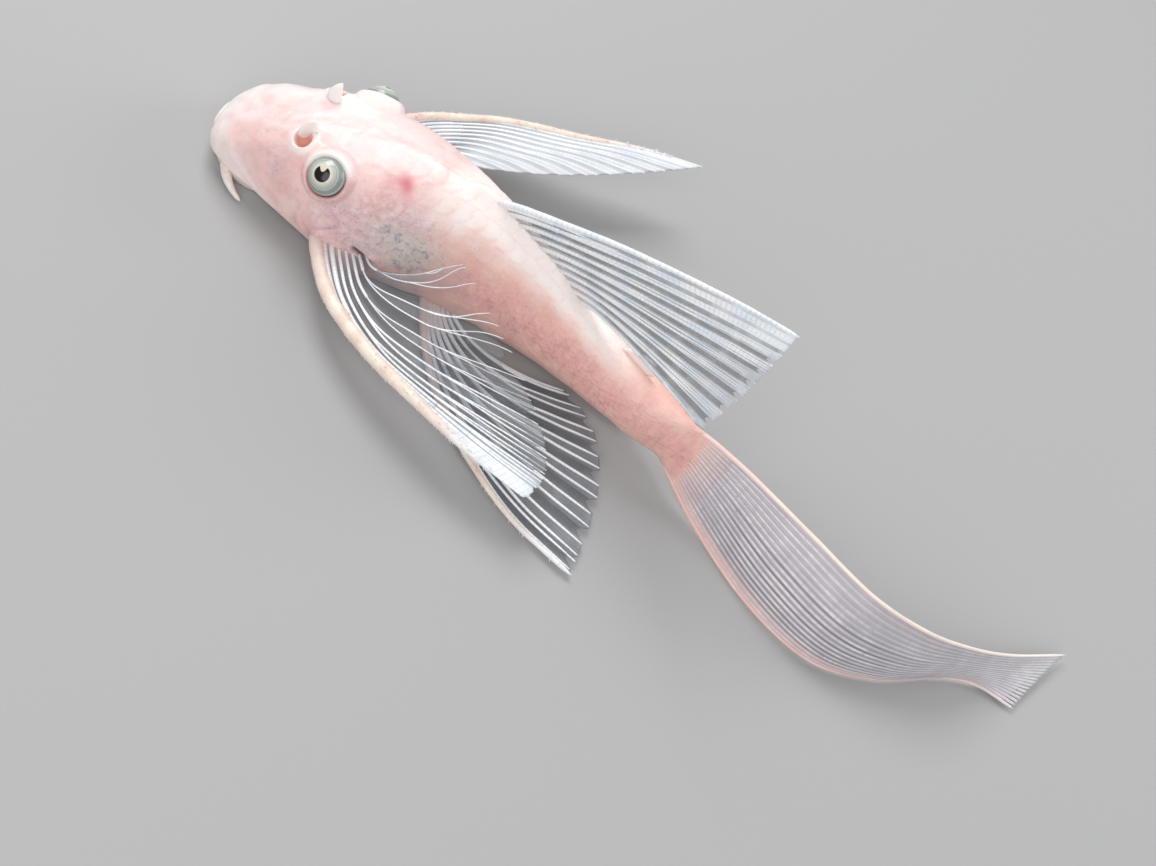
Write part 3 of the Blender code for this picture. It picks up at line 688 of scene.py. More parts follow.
def plate_pattern():
    """Plate relief from 0 to 1, and the lines between plates, for every point of the skin."""
    from_ridge = np.abs(math.pi / 2 - angles) / (math.pi / 2) * PLATE_ROWS
    row = np.clip(from_ridge, 0, PLATE_ROWS * 1.3)
    middle = 1 - (2 * (row % 1.0) - 1) ** 2
    shifted = (station - PLATE_BOW * middle) / PLATE_PITCH + 0.5 * (np.floor(row) % 2)
    tooth = shifted % 1.0
    edge = np.minimum(tooth / 0.80, 1.0) * ramp(tooth, 1.0, 0.84)
    armour = between(station, *ARMOUR_ALONG) * ramp(from_ridge, *ARMOUR_BELOW)
    line = np.maximum(ramp(tooth, 0.86, 0.96), ramp(middle, 0.22, 0))
    return edge * (0.35 + 0.65 * ramp(middle, 0, 0.25)) * armour, line * armour


plates, plate_lines = plate_pattern()
relief += PLATE_RISE * (plates - 0.4 * plates.max() * (plates > 0))
wrinkle = 1 - 2.2 * np.abs(lumps(1.3, 47.0))
soft_side = 0.6 * bell(station, 23, 6.5) * bell(height, 7, 4)
soft_side += 0.9 * bell(away((25.7, 8.1, 12.5), 1), 0, 2.6)
relief += 0.07 * lumps(3.0, 11.0) + 0.02 * lumps(0.9, 5.0) + 0.14 * wrinkle * soft_side
print("plates stand", PLATE_RISE, "mm proud at their rear edges")

# %% [markdown]
# ## Lids
# A pleco has no true eyelids, but its skin rises round the eye in a rim that hugs the ball, and
# is thickest and whitest on the side of the crown. Seen along the eye's own axis the rim is a
# height over the skin: it climbs to the ball, rolls over, and drops out of sight beside it.
# %% Eye rims
EYE_AXIS = (-0.25, 0.70, 0.67)
LID_SIDE = (-0.25, -0.80, 0.62)
LID_HEIGHTS = (0.70, 1.50)
LID_ROUND = 0.48
LID_ROLL = 0.22
# Skin further behind the eye's middle than this belongs to the other side of the head.
EYE_DEPTH = 4.0
# A height that is inside the body all along it.
BODY_MIDDLE = 4.0


def eye_frame(turn):
    """The eye's centre, the way it looks and the side of its heavy lid, unbent."""
    mirror = np.array((1, turn, 1))
    axis = unit(np.array(EYE_AXIS) * mirror)
    lid = np.array(LID_SIDE) * mirror
    lid = unit(lid - axis * lid.dot(axis))
    return np.array(EYE_PLACE) * mirror, axis, lid


# %% Raising the rims
def raise_lids(points):
    """The points near each eye drawn up into a rim, and masks of the white lid and its edge."""
    white = np.zeros(points.shape[:2])
    ring = np.zeros(points.shape[:2])
    for turn in (1, -1):
        centre, axis, lid = eye_frame(turn)
        reach = points - centre
        rise = reach @ axis
        flat = reach - rise[..., None] * axis
        out = np.linalg.norm(flat, axis=-1)
        facing = (flat @ lid) / np.maximum(out, 1e-6)
        heavy = ((1 + facing) / 2) ** 1.5
        top = blend(LID_HEIGHTS, heavy)
        past = out - np.sqrt(EYE_RADIUS**2 - top**2) - 0.04
        crest = top - LID_ROLL * (1 - np.clip(past / LID_ROUND, 0, 1)) ** 2
        wall = np.maximum(top - LID_ROLL + past * 7.0, -0.8)
        this_side = rise > -EYE_DEPTH
        near = ramp(past, LID_ROUND + 0.5 + 0.7 * heavy, LID_ROUND) * this_side
        lift = (np.where(past > 0, crest, wall) - rise) * near
        points = points + lift[..., None] * axis
        white = np.maximum(white, ramp(facing, -0.15, 0.55) * near)
        ring = np.maximum(ring, bell(past, 0.1, 0.35) * this_side)
    return points, white, ring


def surface_normals(points):
    """The way out of a grid of points, from the crossed steps along and round it."""
    along = np.gradient(points, axis=0)
    around = np.gradient(points, axis=1)
    around[:, 0] = around[:, -1] = points[:, 1] - points[:, -2]
    out = unit(np.cross(along, around))
    inside = points * (1, 0, 0) + (0, 0, BODY_MIDDLE)
    return out * np.sign(np.median(((points - inside) * out).sum(-1)))


fade = ramp(shrink, 0.9, 1.0)[:, None] * ramp(height, 0, 0.8)
shaped = local + surface_normals(local) * (relief * fade)[..., None]
shaped, lid_white, lid_ring = raise_lids(shaped)
print("lids stand", *LID_HEIGHTS, "mm over the eyes' middles, at their lowest and highest")

# %% [markdown]
# ## Closing the snout and joining the tail
# At the snout the rows shrink to a point on a small dome. At the other end the flesh thins into
# a wedge that lies over the roots of the tail fin's rays: the last rows move from the body's own
# section to a thin one that follows the fan of the fin.
# %% Snout cap and tail wedge
CAP_MIDDLE = (0.0, 0.0, 3.1)
CAP_BULGE = 0.55
WEDGE = (71.0, 79.5)
WEDGE_THIN = 80.5
WEDGE_THICK = (2.4, 0.13)
# The station of the tail fin's root, and how long the fin is.
CAUDAL_ROOT = 73.9
CAUDAL_SPAN = 77.0


def close_snout(points):
    """The cap's rows drawn in towards their middle and pushed forward."""
    cap = (points - CAP_MIDDLE) * shrink[:, None, None] + CAP_MIDDLE
    cap[..., 0] -= CAP_BULGE * np.sqrt(np.maximum(1 - shrink**2, 0))[:, None]
    return cap


def tail_wedge(points):
    """The last rows laid over the root of the tail fin."""
    guides = GUIDES["caudal_fin"]
    along = np.clip((station - CAUDAL_ROOT) / CAUDAL_SPAN, 0.0, 1.0)
    across = 0.5 - 0.53 * np.sin(angles)
    out = fan_normal(guides, np.clip(across, 0, 1), np.maximum(along, 0.01))
    out = out * np.sign(out[..., 1:2] + 1e-9)
    thick = blend(WEDGE_THICK, ramp(station, WEDGE[0], WEDGE_THIN) ** 0.6)
    thick = thick * signed_power(np.cos(angles), 0.8)
    laid = fan_point(guides, across, along) + out * thick[..., None]
    share = ramp(station, *WEDGE)[..., None]
    return points * (1 - share) + laid * share


skin_places = tail_wedge(bend(close_snout(shaped)))
skin_places[..., 2] = np.maximum(skin_places[..., 2], 0.0)
front, rear = skin_places[..., 0].max(), skin_places[..., 0].min()
print("skin runs from x", front.round(1), "to", rear.round(1), "mm")

# %% [markdown]
# ## Markings
# The fish is pale: cream on the crown, back and snout, pink on the flanks, cooler on the cheek. The
# cream of the crown, the head's right half and the back's ridge is partly painted highlight.
# Behind the gill cover the gills show through as a grey-blue patch, with a red spot above it.
# Each marking is a mask stored on the skin's points, so that it follows the form.
# %% Masks
BOTH = 0
patchy = lumps(2.2, 31.0)
# The angle round the body from its ridge.
back = np.abs(angles - math.pi / 2)
nostrils = np.minimum(away(NOSTRIL_PLACE, 1), away(NOSTRIL_PLACE, -1))


def spot(place, width, turn=BOTH, ragged=0.0):
    """A soft spot round a place, on one side or both, with its edge broken by patches."""
    far = away(place, turn) if turn else np.minimum(away(place, 1), away(place, -1))
    return bell(far / width + ragged * patchy)


masks = {
    # pale: the snout's soft margin, the nostril rims and the white lids are the fish's own cream; on
    # the crown, the head's right half and the back's ridge it is partly painted highlight, which on the
    # ridge also paints out the dorsal fin's shadow.
    "pale": 0.30 * ramp(back - 0.3 * patchy, 0.95, 0.15) * ramp(station, 36, 30)
    + 0.42 * ramp(side - 1.5 * patchy, 1.5, -3.5) * ramp(station, 34, 16)
    + 0.95 * ramp(back - 0.1 * patchy, 0.98, 0.38) * between(station, 29, 35, 58, 70)
    + 0.75 * ramp(margin - 1.8 * patchy, 4.2, -4.8)
    + 0.8 * bell(nostrils, NOSTRIL_SIZE + 0.3, 0.45)
    + lid_white,
    "blush": 0.75 * ramp(station, 33, 41) * bell(height, 8.0, 3.4)
    + 0.6 * bell(station, 23.0, 5.5) * bell(height, 13.2, 1.9)
    + 0.45 * spot((13.5, 7.5, 9.5), 3.0)
    + 0.35 * spot((8.0, 6.0, 9.0), 2.2)
    + 0.3 * patchy,
    "mauve": 0.8 * spot((23.0, 10.5, 8.5), 5.0)
    + 0.7 * spot((30.5, 8.0, 12.0), 3.2)
    + 0.45 * spot((11.0, 7.0, 9.0), 3.0)
    + 0.35 * bell(station, 38.0, 7.0) * bell(height, 8.0, 3.5)
    + 0.2 * patchy,
    "gill": spot((29.8, 9.4, 8.8), 4.2, BOTH, 0.35)
    + 0.7 * spot((33.8, 8.3, 8.4), 3.0, BOTH, 0.3),
    "red": 0.62 * bell(away_line((26.5, 4.8, 15.4), (27.3, 5.4, 15.1), 1) / 0.85 + 0.5 * patchy)
    + 0.40 * spot((26.6, 5.4, 15.0), 2.4, 1, 0.3)
    + 0.55 * spot((12.0, 2.6, 12.6), 1.2, -1)
    + 0.45 * spot((18.6, 11.0, 4.4), 1.2, 1),
    "pit": ramp(nostrils, NOSTRIL_SIZE, NOSTRIL_SIZE - 0.5),
    "striped": ramp(station, 36, 44) * bell(height, 7.5, 4.0),
    "warm": ramp(station, 27, 41),
    # Painted shade: a dark colour in the gill slit and the cheek fold, for the shade inside the opening
    # and the crease.
    "slit_shade": 1.3 * slot_mask(*GILL_SLIT) + 0.95 * slot_mask(*CHEEK_FOLD),
    "fold": np.clip(wrinkle, 0, 1) ** 2 * np.clip(soft_side, 0, 1),
    "ring": lid_ring * (1 - lid_white),
    "line": plate_lines,
    "crease": bell(margin, 0, 0.45) * ramp(station, 13, 9),
}
masks = {name: np.clip(mask, 0, 1) for name, mask in masks.items()}
print("markings:", ", ".join(masks))

# %% [markdown]
# ## The finish of skin
# Wet fish skin is soft and slightly clear: light goes in and comes out pink, while a thin layer
# of slime gives sharp small highlights. So the finish has a little subsurface light and a coat.
# %% Skin finish
# Cream of the pale skin, also laid as painted highlight on the crown, the head's right half and the
# back's ridge.
CREAM_AND_HIGHLIGHT = colour(252, 244, 240)
PINK = colour(243, 212, 208)
WARM_PINK = colour(243, 203, 188)
BLUSH = colour(236, 176, 170)
MAUVE = colour(202, 172, 180)
FRECKLE = colour(150, 126, 140)
# Painted shade of the gill slit and the cheek fold.
SLIT_SHADE = colour(84, 66, 74)
GILL = colour(196, 198, 188)
GILL_DARK = colour(122, 134, 150)
RED = colour(212, 104, 116)
PIT = colour(226, 158, 140)
RING = colour(206, 150, 144)
LINE = colour(216, 152, 144)
SUBSURFACE_REACH = (1.0, 0.45, 0.35)
STRIPE_STRETCH = (1.4, 0.5, 0.5)


def skin_finish():
    """Moist pale skin with its markings, freckles and fine grain, painted highlight on the crown and
    back, and painted shade in the gill slit and cheek fold.
    """
    skin = Finish("moist skin", Roughness=0.42, Coat_Weight=0.35, Coat_Roughness=0.22,
                  Subsurface_Weight=0.22, Subsurface_Scale=1.2 * MM, IOR=1.38)
    skin.shader.inputs["Subsurface Radius"].default_value = SUBSURFACE_REACH
    where = skin.place()
    mark = {name: skin.attribute(name) for name in masks}
    cloudy = skin.noise(where, 0.35, 3.0)
    freckle = skin.noise(where, 2.2, 3.0, 0.6)
    mottle = skin.noise(where, 0.8, 4.0, 0.6)
    blotch = skin.noise(where, 1.1, 4.0, 0.65)
    grain = skin.noise(where, 4.5)
    cells = skin.node("ShaderNodeTexVoronoi", None, {"Vector": where, "Scale": 1.9})
    across = skin.vector_math("MULTIPLY", where, STRIPE_STRETCH)
    stripes = skin.noise(across, 1.0, 3.0, 0.6).ramp(0.45, 0.68)
    dots = cells.ramp(0.36, 0.16) * freckle.ramp(0.42, 0.6)
    gill = skin.paint(GILL, (blotch.ramp(0.46, 0.68), GILL_DARK))
    tone = skin.paint(
        PINK,
        (mark["warm"], WARM_PINK),
        (cloudy.ramp(0.3, 0.75) * 0.5, BLUSH),
        (mark["blush"] * 0.75, BLUSH),
        (mark["striped"] * stripes * 0.5, LINE),
        (mottle.ramp(0.45, 0.72) * (1 - mark["warm"]) * 0.38, MAUVE),
        (mark["mauve"] * (0.45 + freckle.ramp(0.35, 0.65) * 0.4), MAUVE),
        # Cream: the fish's own pale parts, and painted highlight on the crown, the head's right half
        # and the back's ridge.
        (mark["pale"] * 0.9, CREAM_AND_HIGHLIGHT),
        (mark["line"] * 0.14, LINE),
        (dots * mark["mauve"] * 0.7, FRECKLE),
        (mark["fold"] * 0.5, FRECKLE),
        (mark["gill"] * (0.40 + freckle * 0.50), gill),
        (mark["red"] * 0.8, RED),
        (mark["ring"] * 0.7, RING),
        (mark["crease"] * 0.08, BLUSH),
        (mark["pit"], PIT),
        # Painted shade in the gill slit and the cheek fold.
        (mark["slit_shade"], SLIT_SHADE),
    )
    skin.feed("Base Color", tone)
    skin.feed("Roughness", 0.34 + grain * 0.2)
    folds = mark["striped"] * (cells * 0.13 - stripes * 0.05) + mark["mauve"] * cells * 0.07
    skin.bump(grain * 0.05 + skin.noise(where, 1.2) * 0.08 + folds, 0.8)
    return skin


skin_mesh = wrap_grid(skin_places, masks)
print("skin has", len(skin_mesh.verts), "points")

# %% [markdown]
# ## Nostril flaps
# Between the two openings of each nostril stands a small flap like a hood. It is a squashed ball
# that is curled round the edge of the pit, with its root well inside the skin. It is added to
# the skin's own mesh, so that both have one finish.
# %% Flaps
FLAP_PLACE = (12.0, 3.9, 12.75)
FLAP_RADII = (1.3, 0.68, 2.25)
FLAP_TAPER = 0.48
FLAP_ANGLE = math.radians(36.0)


def add_flap(mesh, turn):
    """One nostril flap, curled round the inner edge of its pit and leaning out over it."""
    made = bmesh.ops.create_uvsphere(mesh, u_segments=28, v_segments=18, radius=1.0)
    pale = mesh.verts.layers.float["pale"]
    root = np.array(FLAP_PLACE) * (1, turn, 1)
    for vert in made["verts"]:
        x, y, z = (c * r for c, r in zip(vert.co, FLAP_RADII))
        taper = 1.0 - FLAP_TAPER * max(z, 0.0) / FLAP_RADII[2]
        x = x * taper
        y = y * taper + 0.07 * (z + 1.0) ** 2 + 0.22 * x**2 - 0.2
        behind = x * math.cos(FLAP_ANGLE) + y * math.sin(FLAP_ANGLE)
        out = y * math.cos(FLAP_ANGLE) - x * math.sin(FLAP_ANGLE)
        vert.co = bend(root + np.array((behind, turn * out, z + 0.25))) * MM
        vert[pale] = 1.0
    bmesh.ops.recalc_face_normals(mesh, faces=list({f for v in made["verts"] for f in v.link_faces}))


for turn in (1, -1):
    add_flap(skin_mesh, turn)
add_piece("skin", skin_mesh, skin_finish(), "flesh", "head", "torso", "tail_stem")

# %% [markdown]
# ## Eyes
# Each eye is a wet ball. Its pupil isn't round: a lobe of the iris hangs into it from above and
# leaves a dark horseshoe. A cream ring lies round the pupil, and grey-green rings round that.
# The rings are worked out from the angle to the eye's own axis, so each eye has its own finish.
# %% Eye finish and ball
PUPIL = colour(14, 12, 14)
CREAM_RING = colour(222, 216, 196)
IRIS = colour(192, 199, 190)
IRIS_DARK = colour(110, 122, 120)
EYE_EDGE = colour(76, 84, 86)


def eye_in_room(turn):
    """The eye's centre in millimetres, the way it looks and its upward side, in the room."""
    centre, axis, lid = eye_frame(turn)
    spot = bend(centre)
    ahead = unit(bend(centre + (0.01, 0, 0)) - spot)
    left = unit(bend(centre + (0, 0.01, 0)) - spot)
    room = np.array((ahead, left, (0, 0, 1)))
    return spot, unit(axis @ room), unit(lid @ room)


def eye_finish(name, spot, look, over):
    """Iris rings and a horseshoe pupil about one eye's axis."""
    eye = Finish(name, Roughness=0.25, Coat_Weight=0.45, Coat_Roughness=0.03, IOR=1.34)
    where = eye.place()
    way = eye.vector_math("NORMALIZE", eye.vector_math("SUBTRACT", where, tuple(spot)))
    facing, rise, slant = (
        eye.vector_math("DOT_PRODUCT", way, tuple(line), output="Value")
        for line in (look, over, np.cross(look, over))
    )
    turn = facing.math("ARCCOSINE") * (180 / math.pi)
    rings = (turn * 0.75 + eye.noise(where, 3.0, 3.0) * 3.0).math("SINE") * 0.5 + 0.5
    lobe = (slant * slant * 6.5 + 0.10) - rise
    tone = eye.paint(
        CREAM_RING,
        (turn.ramp(25.0, 38.0), IRIS),
        (rings * turn.ramp(30.0, 40.0) * 0.4, IRIS_DARK),
        (turn.ramp(44.0, 54.0) * turn.ramp(66.0, 60.0) * 0.6, IRIS_DARK),
        (turn.ramp(69.0, 75.0), EYE_EDGE),
        (turn.ramp(24.0, 22.0) * lobe.ramp(-0.03, 0.03), PUPIL),
    )
    eye.feed("Base Color", tone)
    return eye


def make_eye(name, turn):
    """One eyeball, with its pole on its own axis."""
    spot, look, over = eye_in_room(turn)
    mesh = bmesh.new()
    bmesh.ops.create_uvsphere(mesh, u_segments=64, v_segments=40, radius=EYE_RADIUS * MM)
    pole = Matrix((np.cross(over, look), over, look)).transposed().to_4x4()
    bmesh.ops.transform(mesh, matrix=Matrix.Translation(Vector(spot) * MM) @ pole, verts=mesh.verts)
    add_piece(name + "_ball", mesh, eye_finish(name + " iris", spot, look, over), "eyes", name)


make_eye("eye_left", 1)
make_eye("eye_right", -1)

# %% [markdown]
# ## Fin membrane, rays and spines
# Each fin has three parts. The membrane is a thin smoky sheet on the fan. The rays are white
# rods that fork once or twice and stay in bundles, with clear gaps between one bundle and the
# next. The leading ray is stouter, and on the pectoral fins it is a spine with a rough grain of
# tiny thorns. A rod starts as a cylinder from the cone operator, cut into lengths, and is bent
# onto its own path. Towards the tip the bundles crowd to the leading edge.
# %% The make of every fin
# For each fin: number of rays, how much they crowd to the leading edge, radii of a ray at its
# root and tip, places of its forks, how far the branches part there as a share of the gap
# between rays, radii of the leading edge, number of thorns, and extra thickness at the root.
FINS = {
    "pectoral_fin_left": (8, 0.45, (0.34, 0.18), (0.40, 0.66), (0.24, 0.11), (0.84, 0.50), 420, 0.5),
    "pectoral_fin_right": (11, 0.45, (0.34, 0.20), (0.34,), (0.20,), (0.86, 0.42), 420, 0.5),
    "pelvic_fin_left": (8, 0.25, (0.34, 0.22), (0.30,), (0.20,), (0.55, 0.32), 130, 0.4),
    "pelvic_fin_right": (8, 0.25, (0.34, 0.22), (0.30,), (0.20,), (0.55, 0.32), 100, 0.4),
    "dorsal_fin": (10, 0.35, (0.42, 0.19), (0.24, 0.52), (0.17, 0.10), (0.50, 0.24), 0, 0.8),
    "anal_fin": (6, 0.0, (0.24, 0.15), (0.35,), (0.18,), (0.42, 0.22), 0, 0.4),
    "caudal_fin": (18, 0.0, (0.24, 0.15), (0.14, 0.44), (0.17, 0.08), (0.36, 0.20), 0, 0.0),
    "adipose_fin": (2, 0.0, (0.10, 0.08), (0.30,), (0.10,), (0.34, 0.16), 0, 0.25),
}
# How far out the leading edge reaches, and how much thicker it is in its middle.
SPINE_ENDS = {"pectoral_fin_left": 0.93, "pectoral_fin_right": 0.93}
SWELL = {"pectoral_fin_left": 0.25}
# How milky the whole membrane is, and how far the last rays wave.
MILKY = {"pectoral_fin_right": 0.8}
CURL = {"pectoral_fin_left": 0.014}
# How far the root of a leading edge is moved into the body. The arrow points out of the skin.
TUCK = {
    "pectoral_fin_left": (0.0, 1.0, 0.9),
    "pectoral_fin_right": (0.0, -1.0, 0.9),
    "pelvic_fin_left": (0.0, 0.6, 0.4),
    "pelvic_fin_right": (0.0, -0.6, 0.4),
    "caudal_fin": (0.0, 0.0, 1.3),
}
LOWER_TUCK = (0.0, 0.0, -0.6)
# The least height of a fin's points over the floor.
FLOOR_GAP = 0.03


def crowd(across, along, crowding):
    """A ray's place across the fan at each distance out: it leans to the leading edge."""
    return np.clip(across, 0.0, 1.0) ** (1 + crowding * along**2)


def fan_out(guides, across, along):
    """The way out of the fan's surface, read a little inside its ends."""
    return fan_normal(guides, across, np.clip(along, 0.005, 0.99))


def above_floor(places):
    """The same places, none of them under the floor."""
    places[..., 2] = np.maximum(places[..., 2], FLOOR_GAP)
    return places


print("rays in all:", sum(make[0] for make in FINS.values()))

# %% Membrane
WEB_HALF = 0.10
WEB_LENGTHS = 80
WEB_PER_RAY = 8
# The share of a fin's length over which its root is thicker.
FILLET = 0.10


def close_ends(mesh):
    """Fills what is left open of a wrapped sheet."""
    rim = [e for e in mesh.edges if e.is_boundary]
    if rim:
        bmesh.ops.holes_fill(mesh, edges=rim, sides=0)
        bmesh.ops.triangulate(mesh, faces=[f for f in mesh.faces if len(f.verts) > 4])
    bmesh.ops.recalc_face_normals(mesh, faces=mesh.faces)
    return mesh


def make_web(guides, rays, crowding, fillet, milky, curl):
    """A thin closed sheet over the fan, thick at its root and cut back between the rays."""
    across = np.linspace(0, 1, (rays - 1) * WEB_PER_RAY + 1)
    u, t = np.meshgrid(across, np.linspace(0.0, 1.0, WEB_LENGTHS) ** 0.95, indexing="ij")
    lane = u * (rays - 1)
    gap = np.abs(lane - np.rint(lane)) * 2
    milk = ramp(t, 0.35, 0.95) * ramp(u, 0.42, 0.12) * (crowding > 0.3)
    milk = np.maximum(milk, milky * ramp(t, 0.25, 0.65))
    milk = np.maximum(milk, 0.9 * ramp(t, 0.12, 0.37) * ramp(u, 0.23, 0.16) * (curl > 0))
    inner = ramp(u, 0.62, 0.92) * (curl > 0)
    notch = (0.028 + 0.015 * u) * ramp(gap, 0.55, 0.85) * (1 - milk)
    reach = t * (0.988 - notch - 0.05 * inner)
    across = crowd(u, t, crowding)
    middle = fan_point(guides, across, reach)
    out = fan_out(guides, across, reach)
    sag = 0.14 * gap * np.sin(np.pi * t) ** 0.5
    half = WEB_HALF + fillet * ramp(t, FILLET, 0)
    over = middle + out * (sag + half)[..., None]
    under = middle + out * (sag - half)[..., None]
    fleshy = fillet == 0
    low_rim = ramp(u, 0.80, 0.94) * (1 - 0.8 * ramp(t, 0.1, 0.7))
    uneven = 0.4 + 0.6 * np.abs(np.sin(1.7 * np.floor(lane) + 0.6))
    streak = between(u, 0.22, 0.44, 0.85, 0.93) * between(t, 0.10, 0.24, 0.48, 0.78) * uneven
    layers = {
        "along": t,
        "lane": lane,
        "milk": milk,
        "rim": np.maximum(0.4 * ramp(u, 0.05, 0.01), low_rim) * fleshy,
        "streak": streak * fleshy,
        "faint": inner * ramp(t, 0.45, 0.95),
    }
    for name, value in layers.items():
        layers[name] = np.concatenate([value, value[:, ::-1], value[:, :1]], axis=1)
    sheet = above_floor(np.concatenate([over, under[:, ::-1], over[:, :1]], axis=1))
    return close_ends(wrap_grid(sheet, layers))


# %% Rods
ROD_STEP = 0.004


def add_rod(mesh, sides, cuts, path, up, radius):
    """A rod bent onto a path. Path, up and radius are functions of 0 to 1, for arrays."""
    rod = bmesh.new()
    bmesh.ops.create_cone(rod, cap_ends=True, segments=sides, radius1=1.0, radius2=1.0, depth=1.0)
    lengthwise = [e for e in rod.edges if abs(e.verts[0].co.z - e.verts[1].co.z) > 0.5]
    bmesh.ops.subdivide_edges(rod, edges=lengthwise, cuts=cuts, use_grid_fill=False)
    bmesh.ops.translate(rod, vec=(0, 0, 0.5), verts=rod.verts)
    x, y, z = np.array([v.co for v in rod.verts]).T
    way = unit(path(np.minimum(z + ROD_STEP, 1)) - path(np.maximum(z - ROD_STEP, 0)))
    across = unit(np.cross(way, up(z)))
    offset = across * x[:, None] + np.cross(across, way) * y[:, None]
    move_points(rod, above_floor(path(z) + offset * radius(z)[:, None]))
    data = bpy.data.meshes.new("rod")
    rod.to_mesh(data)
    rod.free()
    mesh.from_mesh(data)
    bpy.data.meshes.remove(data)
    return z


def keep_along(mesh, amounts):
    """How far out each point lies, stored on the points in the order they were made."""
    keep_layer(mesh, "along", np.concatenate(amounts))
    bmesh.ops.recalc_face_normals(mesh, faces=mesh.faces)
    return mesh


# %% Forked rays
RAY_SIDES = 7
RAY_CUTS = 80
# The first ray stands close to the leading edge, at this share of the gap to the second.
FIRST_RAY = 0.38
BRANCH_SHARES = (1.0, 0.85, 0.78)
# The last rays of a waving fin are loose threads: places and spread of their forks, thickness.
LOOSE_FORKS = ((0.30, 0.62), (0.20, 0.10))
LOOSE_THIN = 0.62


def forks(places, spread, spacing, rng):
    """The stretches of one ray: start, end, offset across at each, and share of thickness."""
    stem, branch, twig = BRANCH_SHARES
    first, *later = (place + rng.uniform(-0.06, 0.06) for place in places)
    wide = spread[0] * spacing
    stretches = [(0.0, first + 0.02, 0.0, 0.0, stem)]
    for a in (-1, 1):
        if not later:
            stretches.append((first, 1.0, 0.0, a * wide, branch))
            continue
        stretches.append((first, later[0] + 0.02, 0.0, a * wide, branch))
        for b in (-1, 1):
            stretches.append((later[0], 1.0, a * wide, a * wide + b * spread[1] * spacing, twig))
    return stretches


# %% The rays of a fin
def make_rays(guides, make, seed, curl):
    """All the forked rays of a fin. Curl is how far the last rays wave at their ends."""
    rays, crowding, radii, places, spread = make[:5]
    rng = np.random.default_rng(seed)
    mesh = bmesh.new()
    amounts = []
    spacing = 1.0 / (rays - 1)
    for k in (FIRST_RAY, *range(1, rays)):
        centre = k * spacing
        loose = curl * ramp(centre, 0.45, 0.85)
        phase = 3.0 * centre + rng.uniform(-0.7, 0.7)
        free = loose > 0.5 * curl
        bold = rng.uniform(0.82, 1.12) * (1 - 0.35 * centre * (curl > 0))
        bold *= 1.35 if k < 3 and curl > 0 else 1.0
        split = LOOSE_FORKS if free else (places, spread)
        for start, end, first, last, share in forks(*split, spacing, rng):
            reach = 0.992 - 0.012 * rng.random() if end == 1.0 else end
            stray = rng.uniform(-1.0, 1.0) * loose * (end == 1.0)
            share *= bold * (LOOSE_THIN if free and start > 0 else 1.0)

            def along(z):
                return blend((start, reach), z)

            def across(z):
                t = along(z)
                wave = loose * np.sin(t * 11 + phase) * ramp(t, 0.35, 0.85)
                wave += stray * np.sin((t - start) * 9)
                return crowd(centre + blend((first, last), ramp(1.3 * z)) + wave, t, crowding)

            def thick(z):
                t = along(z)
                return share * blend(radii, t) * (1 - 0.3 * ramp(t, 0.9, 1.0))

            z = add_rod(
                mesh,
                RAY_SIDES,
                max(int(RAY_CUTS * (end - start)), 4),
                lambda z: fan_point(guides, across(z), along(z)),
                lambda z: fan_out(guides, across(z), along(z)),
                thick,
            )
            amounts.append(along(z))
    return keep_along(mesh, amounts)


# %% Leading edges
SPINE_SIDES = 16
SPINE_CUTS = 90
# Shares of the length: how far a root starts inside the body, and how much of it is tucked in.
SUNK = 0.035
TUCKED = 0.12
THORN_RADII = (0.09, 0.01)


def add_cone(mesh, sides, radii, length, place, turned):
    """A small cone, as a thorn or a tooth. Gives the number of its points."""
    base, tip = radii
    matrix = Matrix.Translation(Vector(place) * MM) @ turned
    made = bmesh.ops.create_cone(mesh, segments=sides, radius1=base * MM, radius2=tip * MM,
                                 depth=length * MM, matrix=matrix, cap_ends=True)
    return len(made["verts"])


def make_edge(guides, across, radii, end, seed, thorns, tuck, middle=0.0):
    """A tapered rod along one edge of the fan, flared at its root, with thorns that lean out."""
    rng = np.random.default_rng(seed)
    mesh = bmesh.new()

    def thick(z):
        swell = 1 + 0.04 * np.sin(z * 61.0) * np.sin(z * 23.0)
        swell = swell + 0.35 * min(thorns, 1) * np.exp(-z / 0.06)
        taper = np.clip((1.0 - z) / (0.03 if end == 1.0 else 0.25), 0.02, 1) ** 0.5
        return (blend(radii, z) + middle * np.sin(np.pi * z)) * swell * taper

    def path(z):
        spot = fan_point(guides, across, 0.995 * end * (z + SUNK * (z - 1)))
        return spot - np.clip(1 - z / TUCKED, 0, 1)[:, None] ** 2 * np.array(tuck)

    def up(z):
        return fan_normal(guides, across, np.clip(end * z, 0.01, 0.99))

    amounts = [add_rod(mesh, SPINE_SIDES, SPINE_CUTS, path, up, thick)]
    for _ in range(thorns):
        z = rng.uniform(0.12, 0.97)
        turn = rng.uniform(0, 2 * math.pi)
        spot = fan_point(guides, across, 0.995 * end * z)
        ahead = unit(fan_point(guides, across, end * z + 0.01) - spot)
        normal = fan_normal(guides, across, end * z)
        out = unit(np.cross(ahead, normal)) * math.cos(turn) + normal * math.sin(turn)
        lean = unit(out + 1.1 * ahead)
        length = rng.uniform(0.25, 0.5) * (0.6 + 0.6 * z)
        place = spot + out * float(thick(z)) * 0.9 + lean * length / 2
        if place[2] < 0.5:
            continue
        turned = Vector(lean).to_track_quat("Z", "Y").to_matrix().to_4x4()
        amounts.append(np.full(add_cone(mesh, 4, THORN_RADII, length, place, turned), z))
    return keep_along(mesh, amounts)


